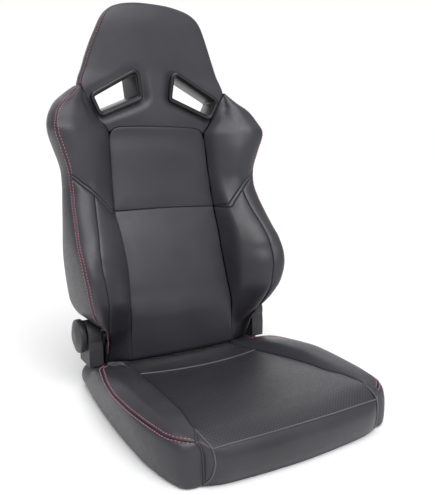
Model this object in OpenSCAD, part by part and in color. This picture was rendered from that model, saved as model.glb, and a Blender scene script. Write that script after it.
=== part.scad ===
// Reclining racing seat: tube-framed cushion, winged one-piece backrest with two harness
// slots, and a knob-driven recliner on each side.
// Frame: +Z up, the seat faces -Y, +X is the sitter's left. The origin lies on the floor
// plane at the centre of the four mounting holes.

/* [Cushion] */
// Width across the side panels at the rear of the cushion
cushion_w = 480; // [440:1:580]
// How far each side swells beyond the rear width at its widest
side_swell = 13; // [5:1:25]
// How far each front corner draws in from the rear width
front_taper = 12; // [0:1:25]
// Distance of the front top seam ahead of the mounting centre
cushion_front = 270; // [240:1:330]
// Distance of the rear edge behind the mounting centre
cushion_rear = 250; // [250:1:300]
// How far the front band bows ahead of its end seams
front_bow = 14; // [4:1:25]
// Height of the cushion bolsters
cushion_h = 88; // [76:1:120]
// Height of the front top seam
front_seam_h = 72; // [60:1:100]
// Height of the sitting surface under the backrest
cushion_rear_h = 45; // [45:1:60]
// Width between the bolster seams at the rear and at the front
insert_rear_w = 288; // [240:1:320]
// Width between the bolster seams at the front of the cushion
insert_front_w = 384; // [340:1:390]
// Depth at which a cross seam divides the sitting surface
cross_seam_y = 100; // [60:1:130]

/* [Backrest] */
// Height of the top of the head above the floor plane
back_top = 900; // [860:1:1080]
// Width across the shoulders
shoulder_w = 542; // [500:1:650]
// Width across the waist, the narrowest part between hips and shoulders
waist_w = 486; // [460:1:580]
// Width across the hip bolsters
hip_w = 516; // [490:1:610]
// Width where the head leaves the shoulders
neck_w = 384; // [360:1:400]
// Width of the head just below its rounded top
head_w = 252; // [220:1:300]
// Width of the centre panel
insert_w = 270; // [220:1:300]
// Height of the fullest part of the hip bolsters
hip_z = 300; // [280:1:330]
// Height of the waist
waist_z = 465; // [430:1:490]
// Height of the widest part of the shoulders
shoulder_z = 590; // [560:1:610]
// Height of the cross seam of the centre panel
insert_seam_z = 403; // [380:1:430]
// Height of the top of the centre panel
insert_top_z = 600; // [590:1:612]
// Height where the shoulders meet the head
neck_z = 697; // [690:1:705]
// Rise from the tuck seam's inner end to its outer end
tuck_rise = 55; // [30:1:70]
// Width of the stitched wing outside the hip bolster
wing_w = 32; // [20:1:40]

/* [Recliner] */
// Depth of the recliner axis behind the mounting centre
pivot_y = 225; // [222:1:230]
// Height of the recliner axis
pivot_z = 128; // [125:1:150]
// Diameter of the adjusting knob
knob_d = 76; // [60:1:90]
// Thickness of the adjusting knob
knob_t = 20; // [14:1:28]
// Diameter of the rod that joins the two recliners
rod_d = 10; // [8:1:14]
// Diameter of the stub that carries the backrest in each lower arm
stub_d = 32; // [26:1:40]
// Thickness of the recliner arms
arm_t = 4; // [3:0.5:5]
// Depth of the plastic recliner covers across the seat
cover_w = 33; // [28:1:40]

/* [Frame and mounting] */
// Distance between the mounting holes across the seat
mount_x = 400; // [330:1:400]
// Distance between the mounting holes along the seat
mount_y = 290; // [240:1:320]
// Radius of the tapped hole in each weld nut
nut_bore_r = 3.4; // [2.5:0.1:4.3]
// Diameter of the cushion frame tube
base_tube_d = 20; // [16:1:22]
// Diameter of the backrest frame tube
back_tube_d = 20; // [16:1:20]
// Diameter of the zig-zag spring wire
spring_d = 3.4; // [2.5:0.1:4]

/* [Covers] */
// Thickness of the padded side panels
side_t = 6; // [4:1:8]
// Thickness of the sewn sitting and back pads
pad_t = 14; // [8:1:16]
// Thickness of the rear panel
rear_t = 6; // [3:1:8]
// Wall of the moulded recliner covers
cover_wall = 2.5; // [1.5:0.5:4]

/* [Hidden] */

// Gaps between neighbouring sewn panels and under a pad, and clearances of the moving fits
seam_gap = 0.4;
bond_gap = 2;
run_fit = 0.05;
move_gap = 2;
bolt_fit = 0.2;
cut = 1;

// Cushion frame: rails inside the side panels, cross bars at the front and the rear
base_r = base_tube_d / 2;
pad_plate_t = 4;
nut_pilot_r = nut_bore_r + 2;
base_z = pad_plate_t + base_r;
base_bend_r = 45;
front_bar_y = -(cushion_front - 45);
rail_x = min(cushion_w / 2, side_x(front_bar_y + base_bend_r)) - side_t - cut - base_r;
rear_bar_y = cushion_rear - side_t - 14;
spring_z = base_z + base_r + spring_d / 2;
foam_z = spring_z + spring_d / 2 + cut;

// Recliner stack, worked outward from the rail: bracket, lower arm, disc, upper arm
lower_arm_x = rail_x - base_r + 2.2 - arm_t;
disc_t = 5;
upper_arm_x = lower_arm_x - disc_t - arm_t;
heel_x = upper_arm_x - move_gap;
cover_x = upper_arm_x + arm_t + cut;
knob_gap = 4;
knob_x = cover_x + cover_w + knob_gap;
disc_r = 28;
cover_r = 34;
pocket_r = cover_r + 4;
heel_r = 79;
pocket_y = 180;

// Backrest sections: what the front, the rear and the sides do at each height
rod_r = rod_d / 2;
stub_r = stub_d / 2;
back_r = back_tube_d / 2;
cavity = back_tube_d + 5;
insert_x = insert_w / 2;
back_bottom = pivot_z - heel_r + 7;
nose_z = hip_z - 42;
nose_y = 123;
waist_y = 252;
shoulder_y = 249;
lumbar_z = 160;
lumbar_y = 183;
insert_seam_y = 275;
insert_top_y = 318;
head_front_y = 330;
heel_rear_y = 256;
flare_z = [165, 212];
back_rear_y = 302;
back_rear_top_y = 362;
head_rear_y = 388;
crown_z = back_top - 45;
head_front_z = neck_z + 47;
flange_r = 16.5;
slot_corners = [[57, 722], [156, 667], [143, 640], [51, 678]];
slot_face_y = 326;
slot_depth = 69;
slot_split = 38;
slot_toe = 6;

function mix(a, b, t) = a + (b - a) * t;
function unit(t) = max(0, min(1, t));
function part_of(v, a, b) = unit((v - a) / (b - a));
function smooth(t) = t * t * (3 - 2 * t);

// Half width of the cushion at depth y
function side_x(y) = cushion_w / 2 + (y > -40
    ? side_swell * (1 - smooth(part_of(y, -40, cushion_rear)))
    : mix(side_swell, -front_taper, smooth(part_of(-y, 40, cushion_front))));
function seam_x(y) = y < -132
    ? mix(0.92 * insert_front_w, insert_front_w, part_of(-y, 132, cushion_front - 45)) / 2
    : mix(0.92 * insert_front_w, insert_rear_w, part_of(y, -132, cushion_rear)) / 2;
function seam_z(y) = y < -130
    ? mix(cushion_h - 4, cushion_h, part_of(-y, 130, 200))
    : mix(cushion_h - 4, cushion_rear_h, smooth(part_of(y, -130, cushion_rear)));
function side_z(y) = y > pocket_y ? 60 : cushion_h - 6 + 3 * part_of(y, -cushion_front, 0);
function insert_z(y) = y < -200
    ? mix(cushion_h - 4, front_seam_h, smooth(part_of(-y, 200, cushion_front)))
    : min(cushion_h - 4, seam_z(y));

// Depth and half width of the backrest surfaces at height z
function ridge_x(z) = z < hip_z ? mix(heel_x + 4, hip_w / 2, sin(90 * part_of(z, 90, hip_z)))
    : z < waist_z ? mix(hip_w, waist_w, smooth(part_of(z, hip_z, waist_z))) / 2
    : z < shoulder_z ? mix(waist_w, shoulder_w, smooth(part_of(z, waist_z, shoulder_z))) / 2
    : mix(shoulder_w, neck_w, pow(part_of(z, shoulder_z, neck_z), 1.5)) / 2;
function ridge_y(z) = z < nose_z ? mix(heel_rear_y - 34, nose_y, sin(90 * part_of(z, 80, nose_z)))
    : z < waist_z ? mix(nose_y, waist_y, smooth(part_of(z, nose_z, waist_z)))
    : z < shoulder_z ? mix(waist_y, shoulder_y, part_of(z, waist_z, shoulder_z))
    : mix(shoulder_y, head_front_y - 8, part_of(z, shoulder_z, neck_z));
function heel_y(z) = z < pivot_z ? pivot_y - sqrt(heel_r * heel_r - pow(pivot_z - z, 2)) : 0;
function insert_y(z) = z < insert_seam_z
    ? max(heel_y(z), mix(lumbar_y, insert_seam_y, pow(part_of(z, lumbar_z, insert_seam_z), 1.2)))
    : mix(insert_seam_y, insert_top_y, part_of(z, insert_seam_z, insert_top_z));
function rear_y(z) = z < flare_z[1]
    ? mix(heel_rear_y, back_rear_y, smooth(part_of(z, flare_z[0], flare_z[1])))
    : mix(back_rear_y, back_rear_top_y, part_of(z, flare_z[1], insert_top_z));
function core_rear_y(z) = rear_y(z) - rear_t - cavity;
function rear_x(z) = z < flare_z[1]
    ? mix(heel_x, ridge_x(flare_z[1]) - 6, smooth(part_of(z, flare_z[0], flare_z[1])))
    : ridge_x(z) - 6;
function inner_x(z) = z < insert_top_z ? insert_x : max(insert_x, head_x(z));
function head_x(z) = z < neck_z ? mix(insert_x + 5, neck_w / 2, part_of(z, insert_top_z, neck_z))
    : z < crown_z ? mix(neck_w, head_w, part_of(z, neck_z, crown_z)) / 2
    : head_w / 2 * sqrt(1 - pow(0.985 * part_of(z, crown_z, back_top), 2));
function head_y(z) = mix(insert_top_y, head_front_y, smooth(part_of(z, insert_top_z, head_front_z)))
    + 14 * pow(part_of(z, crown_z, back_top), 3);
function head_back_y(z) = mix(back_rear_top_y + 6, head_rear_y, smooth(part_of(z, insert_top_z, 640)))
    - 26 * pow(part_of(z, crown_z - 15, back_top), 2);

// Closed solid through rings of points: each ring has the same number of points
module loft(rings) {
    n = len(rings[0]);
    last = len(rings) - 1;
    points = [for (ring = rings) for (p = ring) p];
    sides = [for (i = [0 : last - 1]) for (j = [0 : n - 1]) for (half = [0, 1])
        let (a = i * n + j, b = i * n + (j + 1) % n)
        half == 0 ? [a, b, b + n] : [a, b + n, a + n]];
    caps = [[for (j = [0 : n - 1]) n - 1 - j], [for (j = [0 : n - 1]) last * n + j]];
    polyhedron(points = points, faces = concat(sides, caps), convexity = 4);
}

function steps(a, b, n) = [for (i = [0 : n]) mix(a, b, i / n)];

// Heights from a to b on the grid that all backrest pieces share, so that neighbours keep apart
level_step = 12;
function levels(a, b) = concat([a],
    [for (z = [ceil(a / level_step) * level_step : level_step : b]) if (z > a + 2 && z < b - 2) z], [b]);

// Strip of padding along a plan path, standing from the floor plane to a height at each point
function sideways(path, i) =
    let (a = path[max(0, i - 1)], b = path[min(len(path) - 1, i + 1)], d = b - a)
    [-d[1], d[0]] / norm(d);
module strip(path, heights, thickness) {
    loft([for (i = [0 : len(path) - 1])
        let (p = path[i], q = p + sideways(path, i) * thickness)
        [[p[0], p[1], 0], [q[0], q[1], 0], [q[0], q[1], heights[i]], [p[0], p[1], heights[i]]]]);
}

module on_side(side) mirror([side < 0 ? 1 : 0, 0, 0]) children();

// Plate in the plane across the seat's X axis, from x outward
module plate(x, t) translate([x, 0, 0]) rotate([90, 0, 90]) linear_extrude(t) children();
module across(x, length, r, y = pivot_y, z = pivot_z)
    translate([x, y, z]) rotate([0, 90, 0]) cylinder(h = length, r = r, $fn = 64);

// ---- Cushion frame ----
module tube_corner(x, y, turn) translate([x, y, base_z]) rotate([0, 0, turn])
    rotate_extrude(angle = 90, $fn = 64) translate([base_bend_r, 0]) circle(r = base_r, $fn = 32);

module mount_holes(r, z, length) {
    for (x = [-1, 1], y = [-1, 1])
        translate([x * mount_x / 2, y * mount_y / 2, z]) cylinder(h = length, r = r, $fn = 48);
}

pad_plate_y = 50;
pad_plate_in = 18;
bracket_y = [190, 236];
bracket_top = 60;
arm_bolt_y = [203, 226];
cover_y = [190, 260];
arm_bolt_z = 46;
bolt_r = 4;

module base_frame() {
    bend_x = rail_x - base_bend_r;
    color("dimgray") difference() {
        union() {
            for (side = [-1, 1]) on_side(side) {
                translate([rail_x, front_bar_y + base_bend_r, base_z]) rotate([-90, 0, 0])
                    cylinder(h = rear_bar_y - front_bar_y - 2 * base_bend_r, r = base_r, $fn = 32);
                tube_corner(bend_x, rear_bar_y - base_bend_r, 0);
                tube_corner(bend_x, front_bar_y + base_bend_r, 270);
                for (y = [-1, 1])
                    translate([mount_x / 2 - pad_plate_in, y * mount_y / 2 - pad_plate_y / 2, 0])
                        cube([rail_x + base_r - mount_x / 2 + pad_plate_in, pad_plate_y,
                            pad_plate_t + cut]);
                plate(lower_arm_x + arm_t, arm_t)
                    polygon([[bracket_y[0], base_z], [bracket_y[1], base_z],
                        [bracket_y[1] - 8, bracket_top], [bracket_y[0] + 4, bracket_top]]);
            }
            for (y = [front_bar_y, rear_bar_y])
                translate([-bend_x, y, base_z]) rotate([0, 90, 0])
                    cylinder(h = 2 * bend_x, r = base_r, $fn = 32);
        }
        mount_holes(nut_pilot_r + bolt_fit, -cut, pad_plate_t + 3 * cut);
        for (side = [-1, 1], y = arm_bolt_y) on_side(side)
            across(lower_arm_x, 3 * arm_t, bolt_r + bolt_fit, y, arm_bolt_z);
    }
}

nut_h = 8;
module base_weld_nuts() {
    color("silver") difference() {
        for (x = [-1, 1], y = [-1, 1]) translate([x * mount_x / 2, y * mount_y / 2, 0]) {
            cylinder(h = pad_plate_t + 2 * cut, r = nut_pilot_r, $fn = 48);
            translate([0, 0, pad_plate_t + cut])
                cylinder(h = nut_h, r = nut_bore_r + 4.1, $fn = 6);
        }
        mount_holes(nut_bore_r, -cut, pad_plate_t + nut_h + 3 * cut);
    }
}

// Zig-zag springs run fore and aft between the cross bars
spring_count = 5;
spring_loops = 10;
spring_wave = 24;
function spring_x(i) = (i - (spring_count - 1) / 2) * 66;
module zigzag() {
    pitch = (rear_bar_y - front_bar_y - base_tube_d) / spring_loops;
    bend = pitch / 2;
    for (k = [0 : spring_loops - 1]) {
        flip = k % 2 == 0 ? 1 : -1;
        middle_y = front_bar_y + base_r + (k + 0.5) * pitch;
        translate([flip * (spring_wave - bend) , middle_y, 0]) rotate([0, 0, flip > 0 ? -90 : 90])
            rotate_extrude(angle = 180, $fn = 32)
                translate([bend, 0]) circle(d = spring_d, $fn = 16);
        if (k > 0) translate([-(spring_wave - bend), middle_y - bend, 0]) rotate([0, 90, 0])
            cylinder(h = 2 * (spring_wave - bend), d = spring_d, $fn = 16);
    }
    for (end = [0, 1]) {
        y = end == 0 ? front_bar_y + base_r : rear_bar_y - base_r;
        translate([end == 0 ? 0 : -(spring_wave - bend), y, 0]) rotate([0, 90, 0])
            cylinder(h = spring_wave - bend, d = spring_d, $fn = 16);
    }
}
module base_springs() {
    color("gray") for (i = [0 : spring_count - 1])
        translate([spring_x(i), 0, spring_z + cut / 4]) zigzag();
}

// Each clip stands on its cross bar behind the end of its spring
module spring_clips() {
    clip = [16, 6, spring_d + 0.5];
    color("dimgray") for (i = [0 : spring_count - 1], end = [-1, 1])
        translate([spring_x(i) - clip[0] / 2,
            (end < 0 ? front_bar_y : rear_bar_y - clip[1]), base_z + base_r])
            cube(clip);
}

// ---- Cushion padding ----
module heel_sweep() across(-cover_x, 2 * cover_x, heel_r + move_gap);

pad_front_y = -(cushion_front - 8 - side_t - 1);
function core_ring(y) = let (x = seam_x(y) - seam_gap, z = insert_z(y) - pad_t - bond_gap)
    [[-x, y, foam_z], [x, y, foam_z], [x, y, z], [-x, y, z]];
module cushion_core() {
    color("khaki") difference() {
        loft([for (y = steps(140, pad_front_y, 12)) core_ring(y)]);
        heel_sweep();
    }
}

crown = 5;
function sit_ring(y) =
    let (w = min(seam_x(y) - seam_gap, y < pad_front_y ? band_x - 1 : seam_x(y)), z = insert_z(y),
        bow = front_bow * part_of(-y, 150, cushion_front))
    concat([[-w, y, z - pad_t], [w, y, z - pad_t]],
        [for (k = [6 : -1 : 0]) let (s = k / 3 - 1)
            [w * s, y - bow * (1 - s * s), z - 4 + crown * (1 - s * s)]]);
module cushion_insert_front() {
    front = [pad_front_y - 1, -(cushion_front - side_t - 1)];
    color("#3a3a3d")
        loft([for (y = concat(steps(cross_seam_y - seam_gap, pad_front_y, 14), front)) sit_ring(y)]);
}
module cushion_insert_rear() {
    color("#343437") difference() {
        loft([for (y = steps(cushion_rear - side_t - 1, cross_seam_y + seam_gap, 6)) sit_ring(y)]);
        heel_sweep();
    }
}

corner_y = -(cushion_front - 38);
gusset_x = insert_front_w / 2;
gusset_y = -(cushion_front - 8);
corner_rx = side_x(corner_y) - gusset_x;
corner_ry = corner_y - gusset_y;
function corner_inner_x(y) =
    gusset_x + (corner_rx - side_t) * sqrt(max(0, 1 - pow((corner_y - y) / (corner_ry - side_t), 2)));
function bolster_out_x(y) = y > pocket_y ? heel_x : seam_gap * -1 +
    (y < corner_y ? corner_inner_x(y) : side_x(y) - side_t);
function bolster_ring(y) =
    let (a = seam_x(y) + seam_gap, b = bolster_out_x(y), z = seam_z(y),
        top = min(side_z(y), z + 40), m = mix(a, b, 0.5))
    [[a, y, foam_z], [b, y, foam_z], [b, y, top - 14], [mix(m, b, 0.7), y, top - 2],
        [m, y, max(z, top) + 2], [mix(a, m, 0.4), y, z + 3], [a, y, z - 5]];
module cushion_bolster(side) {
    fore = steps(pocket_y, corner_y, 12);
    color("#2e2e31") on_side(side) difference() {
        loft([for (y = concat([cushion_rear - side_t - 1, pocket_y + 1], fore,
            [corner_y - 8, corner_y - 15])) bolster_ring(y)]);
        heel_sweep();
        translate([heel_x, bracket_y[0] - 8, 0]) cube([60, 90, cushion_h]);
    }
}
module cushion_bolster_left() cushion_bolster(1);
module cushion_bolster_right() cushion_bolster(-1);

function arc_path(n) = [for (a = steps(0, 90, n))
    [gusset_x + corner_rx * cos(a), corner_y - corner_ry * sin(a)]];
module cushion_side(side) {
    back = [for (y = concat([cushion_rear, pocket_y + 12], steps(pocket_y - 6, corner_y + 12, 12)))
        [side_x(y), y]];
    path = concat(back, arc_path(6));
    color("#3b3b3f") on_side(side) strip([for (p = path) p],
        [for (p = path) side_z(p[1])], -side_t);
}
module cushion_side_left() cushion_side(1);
module cushion_side_right() cushion_side(-1);

band_x = insert_front_w / 2 - 11;
module cushion_gusset(side) {
    path = [[gusset_x - seam_gap, gusset_y], [mix(gusset_x, band_x, 0.4), gusset_y - 5],
        [band_x + 2.5, -cushion_front]];
    color("#242427") on_side(side)
        strip(path, [cushion_h - 8, cushion_h - 10, front_seam_h + 2], -side_t / 2);
}
module cushion_gusset_left() cushion_gusset(1);
module cushion_gusset_right() cushion_gusset(-1);

module cushion_front_band() {
    path = [for (s = steps(1, -1, 12)) [band_x * s, -cushion_front - front_bow * (1 - s * s)]];
    color("#3d3c3c") strip(path, [for (p = path) front_seam_h], -side_t);
}
module cushion_rear_band() {
    x = side_x(cushion_rear) - side_t - seam_gap;
    color("#2a2a2d") translate([-x, cushion_rear - side_t, 0])
        cube([2 * x, side_t - 1, cushion_rear_h - 1]);
}

// ---- Recliners ----
module arm_bolt_holes() {
    for (y = arm_bolt_y) translate([y, arm_bolt_z]) circle(r = bolt_r + bolt_fit, $fn = 32);
}
module recliner_lower_arm(side) {
    color("#55565a") on_side(side) plate(lower_arm_x, arm_t) difference() {
        union() {
            translate([pivot_y, pivot_z]) circle(r = disc_r, $fn = 96);
            polygon([[bracket_y[0], base_z + base_r + 2], [bracket_y[1] + 4, base_z + base_r + 2],
                [bracket_y[1] + 4, bracket_top], [pivot_y + disc_r - 1, pivot_z - 4],
                [pivot_y - disc_r + 1, pivot_z - 4], [bracket_y[0] + 4, bracket_top]]);
        }
        translate([pivot_y, pivot_z]) circle(r = stub_r + run_fit, $fn = 96);
        arm_bolt_holes();
    }
}
module recliner_lower_arm_left() recliner_lower_arm(1);
module recliner_lower_arm_right() recliner_lower_arm(-1);

module lower_arm_bolts() {
    head = 5;
    color("silver") for (side = [-1, 1], y = arm_bolt_y) on_side(side) {
        across(lower_arm_x - head, head, 6.5, y, arm_bolt_z);
        across(lower_arm_x - cut, 2 * arm_t + 7, bolt_r, y, arm_bolt_z);
        translate([lower_arm_x + 2 * arm_t, y, arm_bolt_z]) rotate([0, 90, 0])
            cylinder(h = 6, r = 7.5, $fn = 6);
    }
}

module cover_outline(inset) {
    translate([pivot_y, pivot_z]) circle(r = cover_r - inset, $fn = 96);
    polygon([[cover_y[0] + inset, 61], [cover_y[1] - inset, 61],
        [cover_y[1] - inset, 84], [pivot_y + cover_r - 3 - inset, pivot_z + 8],
        [pivot_y - cover_r + 2 + inset, pivot_z - 8], [cover_y[0] + inset, 100]]);
}
module recliner_cover(side) {
    color("#4c4d50") on_side(side) difference() {
        plate(cover_x, cover_w) cover_outline(0);
        difference() {
            plate(cover_x - cut, cover_w + cut - cover_wall) cover_outline(cover_wall);
        }
        translate([cover_x - cut, cover_y[0] + cover_wall, 50])
            cube([cover_w + cut - cover_wall, cover_y[1] - cover_y[0] - 2 * cover_wall, 20]);
        if (side < 0) across(cover_x, cover_w + cut, rod_r + move_gap);
    }
}
module recliner_cover_left() recliner_cover(1);
module recliner_cover_right() recliner_cover(-1);

back_tube_x = upper_arm_x - back_r;
tube_foot_z = flare_z[1] + 6;
function tube_y(z) = rear_y(z) - rear_t - back_r - 3;
upper_bolt_z = [tube_foot_z + 10, tube_foot_z + 46];

module upper_arm_outline(grow = 0) {
    translate([pivot_y, pivot_z]) circle(r = 36 + grow, $fn = 96);
    polygon([[pivot_y - 30 - grow, pivot_z + 18], [pivot_y + 26 + grow, pivot_z - 10],
        [pivot_y + 24 + grow, flare_z[0]], [tube_y(flare_z[1]) + 8 + grow, flare_z[1] + 4],
        [tube_y(upper_bolt_z[1]) + 8 + grow, upper_bolt_z[1] + 12 + grow],
        [tube_y(upper_bolt_z[1]) - 12 - grow, upper_bolt_z[1] + 12 + grow],
        [tube_y(flare_z[1]) - 14 - grow, flare_z[1]], [pivot_y - 14 - grow, pivot_z + 42]]);
}
module recliner_upper_arm(side) {
    color("#55565a") on_side(side) difference() {
        plate(upper_arm_x, arm_t) upper_arm_outline();
        across(upper_arm_x - cut, arm_t + 2 * cut, rod_r + bolt_fit);
        for (z = upper_bolt_z)
            across(upper_arm_x - cut, arm_t + 2 * cut, bolt_r + bolt_fit, tube_y(z), z);
    }
}
module recliner_upper_arm_left() recliner_upper_arm(1);
module recliner_upper_arm_right() recliner_upper_arm(-1);
module arm_slot() plate(upper_arm_x - 1.5, arm_t + 3) upper_arm_outline(1.5);
module gear_pocket() across(upper_arm_x + arm_t / 2, 60, pocket_r);
module recliner_room() {
    arm_slot();
    gear_pocket();
    across(0, cover_x, rod_r + move_gap);
}

// The toothed disc is welded to the upper arm and its stub turns in the lower arm
module recliner_disc(side) {
    color("silver") on_side(side) difference() {
        union() {
            across(upper_arm_x + arm_t, disc_t - 0.3, disc_r);
            across(upper_arm_x + arm_t, disc_t + arm_t + 2, stub_r);
        }
        across(upper_arm_x, disc_t + 3 * arm_t, rod_r + run_fit);
    }
}
module recliner_disc_left() recliner_disc(1);
module recliner_disc_right() recliner_disc(-1);

module upper_arm_bolts() {
    color("silver") for (side = [-1, 1], z = upper_bolt_z) on_side(side) {
        across(upper_arm_x + arm_t, 5, 6.2, tube_y(z), z);
        across(back_tube_x - back_r - 1, back_tube_d + arm_t + 2, bolt_r, tube_y(z), z);
    }
}

rod_out = cover_x + cover_w - cover_wall - 4;
rod_length = knob_x + knob_t - 6 + rod_out;
module sync_rod() {
    color("silver") across(-(knob_x + knob_t - 6), rod_length, rod_r);
}
module rod_clip() {
    color("silver") difference() {
        across(rod_out - 5, 1.5, rod_r + 3.5);
        across(rod_out - 6, 4, rod_r);
    }
}
module recliner_knob() {
    rim = 4;
    color("#5b5b5e") translate([-knob_x, pivot_y, pivot_z]) rotate([0, -90, 0]) difference() {
        union() {
            rotate_extrude($fn = 128) polygon([[0, knob_t * 0.35], [knob_d / 2 - rim, knob_t * 0.35],
                [knob_d / 2 - rim, 0], [knob_d / 2 - 1, 0], [knob_d / 2, 1.5],
                [knob_d / 2, knob_t - 3], [knob_d / 2 - 2.5, knob_t - 0.6], [0, knob_t]]);
            translate([0, 0, -knob_gap + cut]) cylinder(h = knob_t / 2, r = rod_r + 7, $fn = 64);
        }
        translate([0, 0, -knob_gap - cut]) cylinder(h = knob_t + knob_gap + cut - 6, r = rod_r, $fn = 64);
    }
}

// ---- Backrest frame ----
frame_top_z = insert_top_z - 24;
stay_x = 15;
stay_r = 6;
tube_end = 30;
stay_top_z = crown_z - 55;
stay_y = tube_y(frame_top_z);
module tube_between(a, b, r) {
    d = b - a;
    length = norm(d);
    translate(a) rotate([0, acos(d[2] / length), atan2(d[1], d[0])])
        cylinder(h = length, r = r, $fn = 32);
}
module back_frame() {
    foot = [back_tube_x, tube_y(tube_foot_z), tube_foot_z];
    top = [back_tube_x, tube_y(frame_top_z + tube_end), frame_top_z + tube_end];
    color("dimgray") difference() {
        union() {
            for (side = [-1, 1]) on_side(side) {
                tube_between(foot, top, back_r);
                tube_between([stay_x, stay_y, frame_top_z], [stay_x, stay_y, stay_top_z], stay_r);
                translate([stay_x, stay_y, stay_top_z]) sphere(r = stay_r, $fn = 32);
            }
            for (z = [tube_foot_z + 28, frame_top_z])
                across(-back_tube_x, 2 * back_tube_x, back_r, tube_y(z), z);
        }
        for (side = [-1, 1], z = upper_bolt_z) on_side(side)
            across(back_tube_x - 2 * back_r, 3 * back_r, bolt_r + bolt_fit, tube_y(z), z);
    }
}
wire_r = 2;
module back_wires() {
    color("gray") for (z = steps(tube_foot_z + 80, frame_top_z - 50, 4))
        across(-(back_tube_x - back_r), 2 * (back_tube_x - back_r), wire_r, tube_y(z) - 4, z);
}

// ---- Backrest padding ----
module stay_room() {
    for (side = [-1, 1])
        translate([side * stay_x, stay_y, frame_top_z])
            cylinder(h = stay_top_z + stay_r + cut - frame_top_z, r = stay_r + cut, $fn = 32);
}

function back_core_ring(z) =
    let (x = insert_x - seam_gap, a = insert_y(z) + pad_t + bond_gap, b = core_rear_y(z))
    [[-x, a, z], [x, a, z], [x, b, z], [-x, b, z]];
module back_core() {
    color("khaki") difference() {
        loft([for (z = levels(back_bottom, frame_top_z - 88)) back_core_ring(z)]);
        across(-heel_x, 2 * heel_x, rod_r + move_gap);
    }
}

function back_pad_ring(z) = let (w = insert_x - seam_gap, y = insert_y(z))
    concat([[w, y + pad_t, z], [-w, y + pad_t, z]],
        [for (k = [0 : 6]) let (s = k / 3 - 1) [w * s, y + 3 - crown * (1 - s * s), z]]);
module back_insert_lower() {
    color("#3f3f42") loft([for (z = levels(back_bottom, insert_seam_z - seam_gap)) back_pad_ring(z)]);
}
module back_insert_upper() {
    color("#434346")
        loft([for (z = levels(insert_seam_z + seam_gap, insert_top_z - seam_gap)) back_pad_ring(z)]);
}

// The side panel runs from the stitched ridge to the rear corner
function skin_x(z, y) = mix(ridge_x(z), rear_x(z), part_of(y, ridge_y(z), rear_y(z)));
tuck_in_z = insert_seam_z - 2;
tuck_out_z = insert_seam_z - 2 + tuck_rise;
wing_deep = 40;
side_gap = 3;
function hip_ring(z) =
    let (a = insert_x + seam_gap, ay = insert_y(z), t = max(a + 8, ridge_x(z) - wing_w - side_gap),
        ty = min(ay + 24, ridge_y(z) - 4), deep = min(core_rear_y(z) - 2, ty + wing_deep), rear = core_rear_y(z),
        bulge = 9 * part_of(z, 90, 200))
    [[a, ay + 3, z], [a, rear, z], [skin_x(z, rear) - side_t - side_gap, rear, z],
        [skin_x(z, deep) - side_t - side_gap, deep + 1, z], [t, deep + 1, z], [t, ty, z],
        [mix(a, t, 0.75), mix(ay, ty, 0.75) - bulge, z], [mix(a, t, 0.5), mix(ay, ty, 0.5) - bulge, z],
        [mix(a, t, 0.2), mix(ay, ty, 0.2) - bulge / 2, z]];
module hip_bolster(side) {
    color("#303033") on_side(side) difference() {
        loft([for (z = levels(back_bottom, tuck_out_z - 24)) hip_ring(z)]);
        recliner_room();
    }
}
module hip_bolster_left() hip_bolster(1);
module hip_bolster_right() hip_bolster(-1);

function wing_ring(z) =
    let (t = max(insert_x + 9, ridge_x(z) - wing_w), r = ridge_x(z) - side_t - side_gap,
        ty = min(insert_y(z) + 24, ridge_y(z) - 4), deep = min(core_rear_y(z) - 3, ty + wing_deep))
    [[t, ty, z], [t, deep, z], [skin_x(z, deep) - side_t - side_gap, deep, z], [r, ridge_y(z) + 2, z],
        [mix(t, r, 0.5), ty - 3, z]];
module hip_wing(side) {
    color("#2b2b2e") on_side(side) difference() {
        loft([for (z = levels(120, tuck_out_z - 24)) wing_ring(z)]);
        arm_slot();
        gear_pocket();
    }
}
module hip_wing_left() hip_wing(1);
module hip_wing_right() hip_wing(-1);

function shoulder_ring(z) =
    let (a = inner_x(z) + seam_gap, b = ridge_x(z) - side_t - side_gap,
        ay = z < insert_top_z ? insert_y(z) : insert_top_y, by = min(ridge_y(z), ay + 2),
        rear = core_rear_y(z), m = mix(ay, by, 0.5))
    [[a, ay + 3, z], [a, rear, z], [skin_x(z, rear) - side_t - side_gap, rear, z], [b, by + 2, z],
        [mix(a, b, 0.85), mix(ay, by, 0.9) - 8, z], [mix(a, b, 0.5), m - 6, z],
        [mix(a, b, 0.2), mix(ay, by, 0.2) - 3, z]];
module shoulder_bolster(side) {
    color("#333336") on_side(side)
        loft([for (z = levels(tuck_out_z - 23, neck_z - 22)) shoulder_ring(z)]);
}
module shoulder_bolster_left() shoulder_bolster(1);
module shoulder_bolster_right() shoulder_bolster(-1);

function back_side_ring(z) =
    let (x = ridge_x(z), y = min(ridge_y(z), rear_y(z) - 30), rx = rear_x(z), ry = rear_y(z))
    [[x - side_t, y, z], [x, y + 2, z], [mix(x, rx, 0.5) + 3, mix(y, ry, 0.5), z], [rx, ry - 3, z],
        [rx - side_t, ry, z]];
module back_side(side) {
    color("#46464a") on_side(side) difference() {
        loft([for (z = levels(back_bottom + 30, neck_z - 12)) back_side_ring(z)]);
        recliner_room();
    }
}
module back_side_left() back_side(1);
module back_side_right() back_side(-1);

function rear_ring(z) = let (x = rear_x(z) - side_t - side_gap, y = rear_y(z))
    [[-x, y - rear_t, z], [x, y - rear_t, z], [x, y, z], [-x, y, z]];
module back_rear_panel() {
    color("#2a2a2d") loft([for (z = levels(back_bottom, insert_top_z - 1)) rear_ring(z)]);
}

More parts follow.
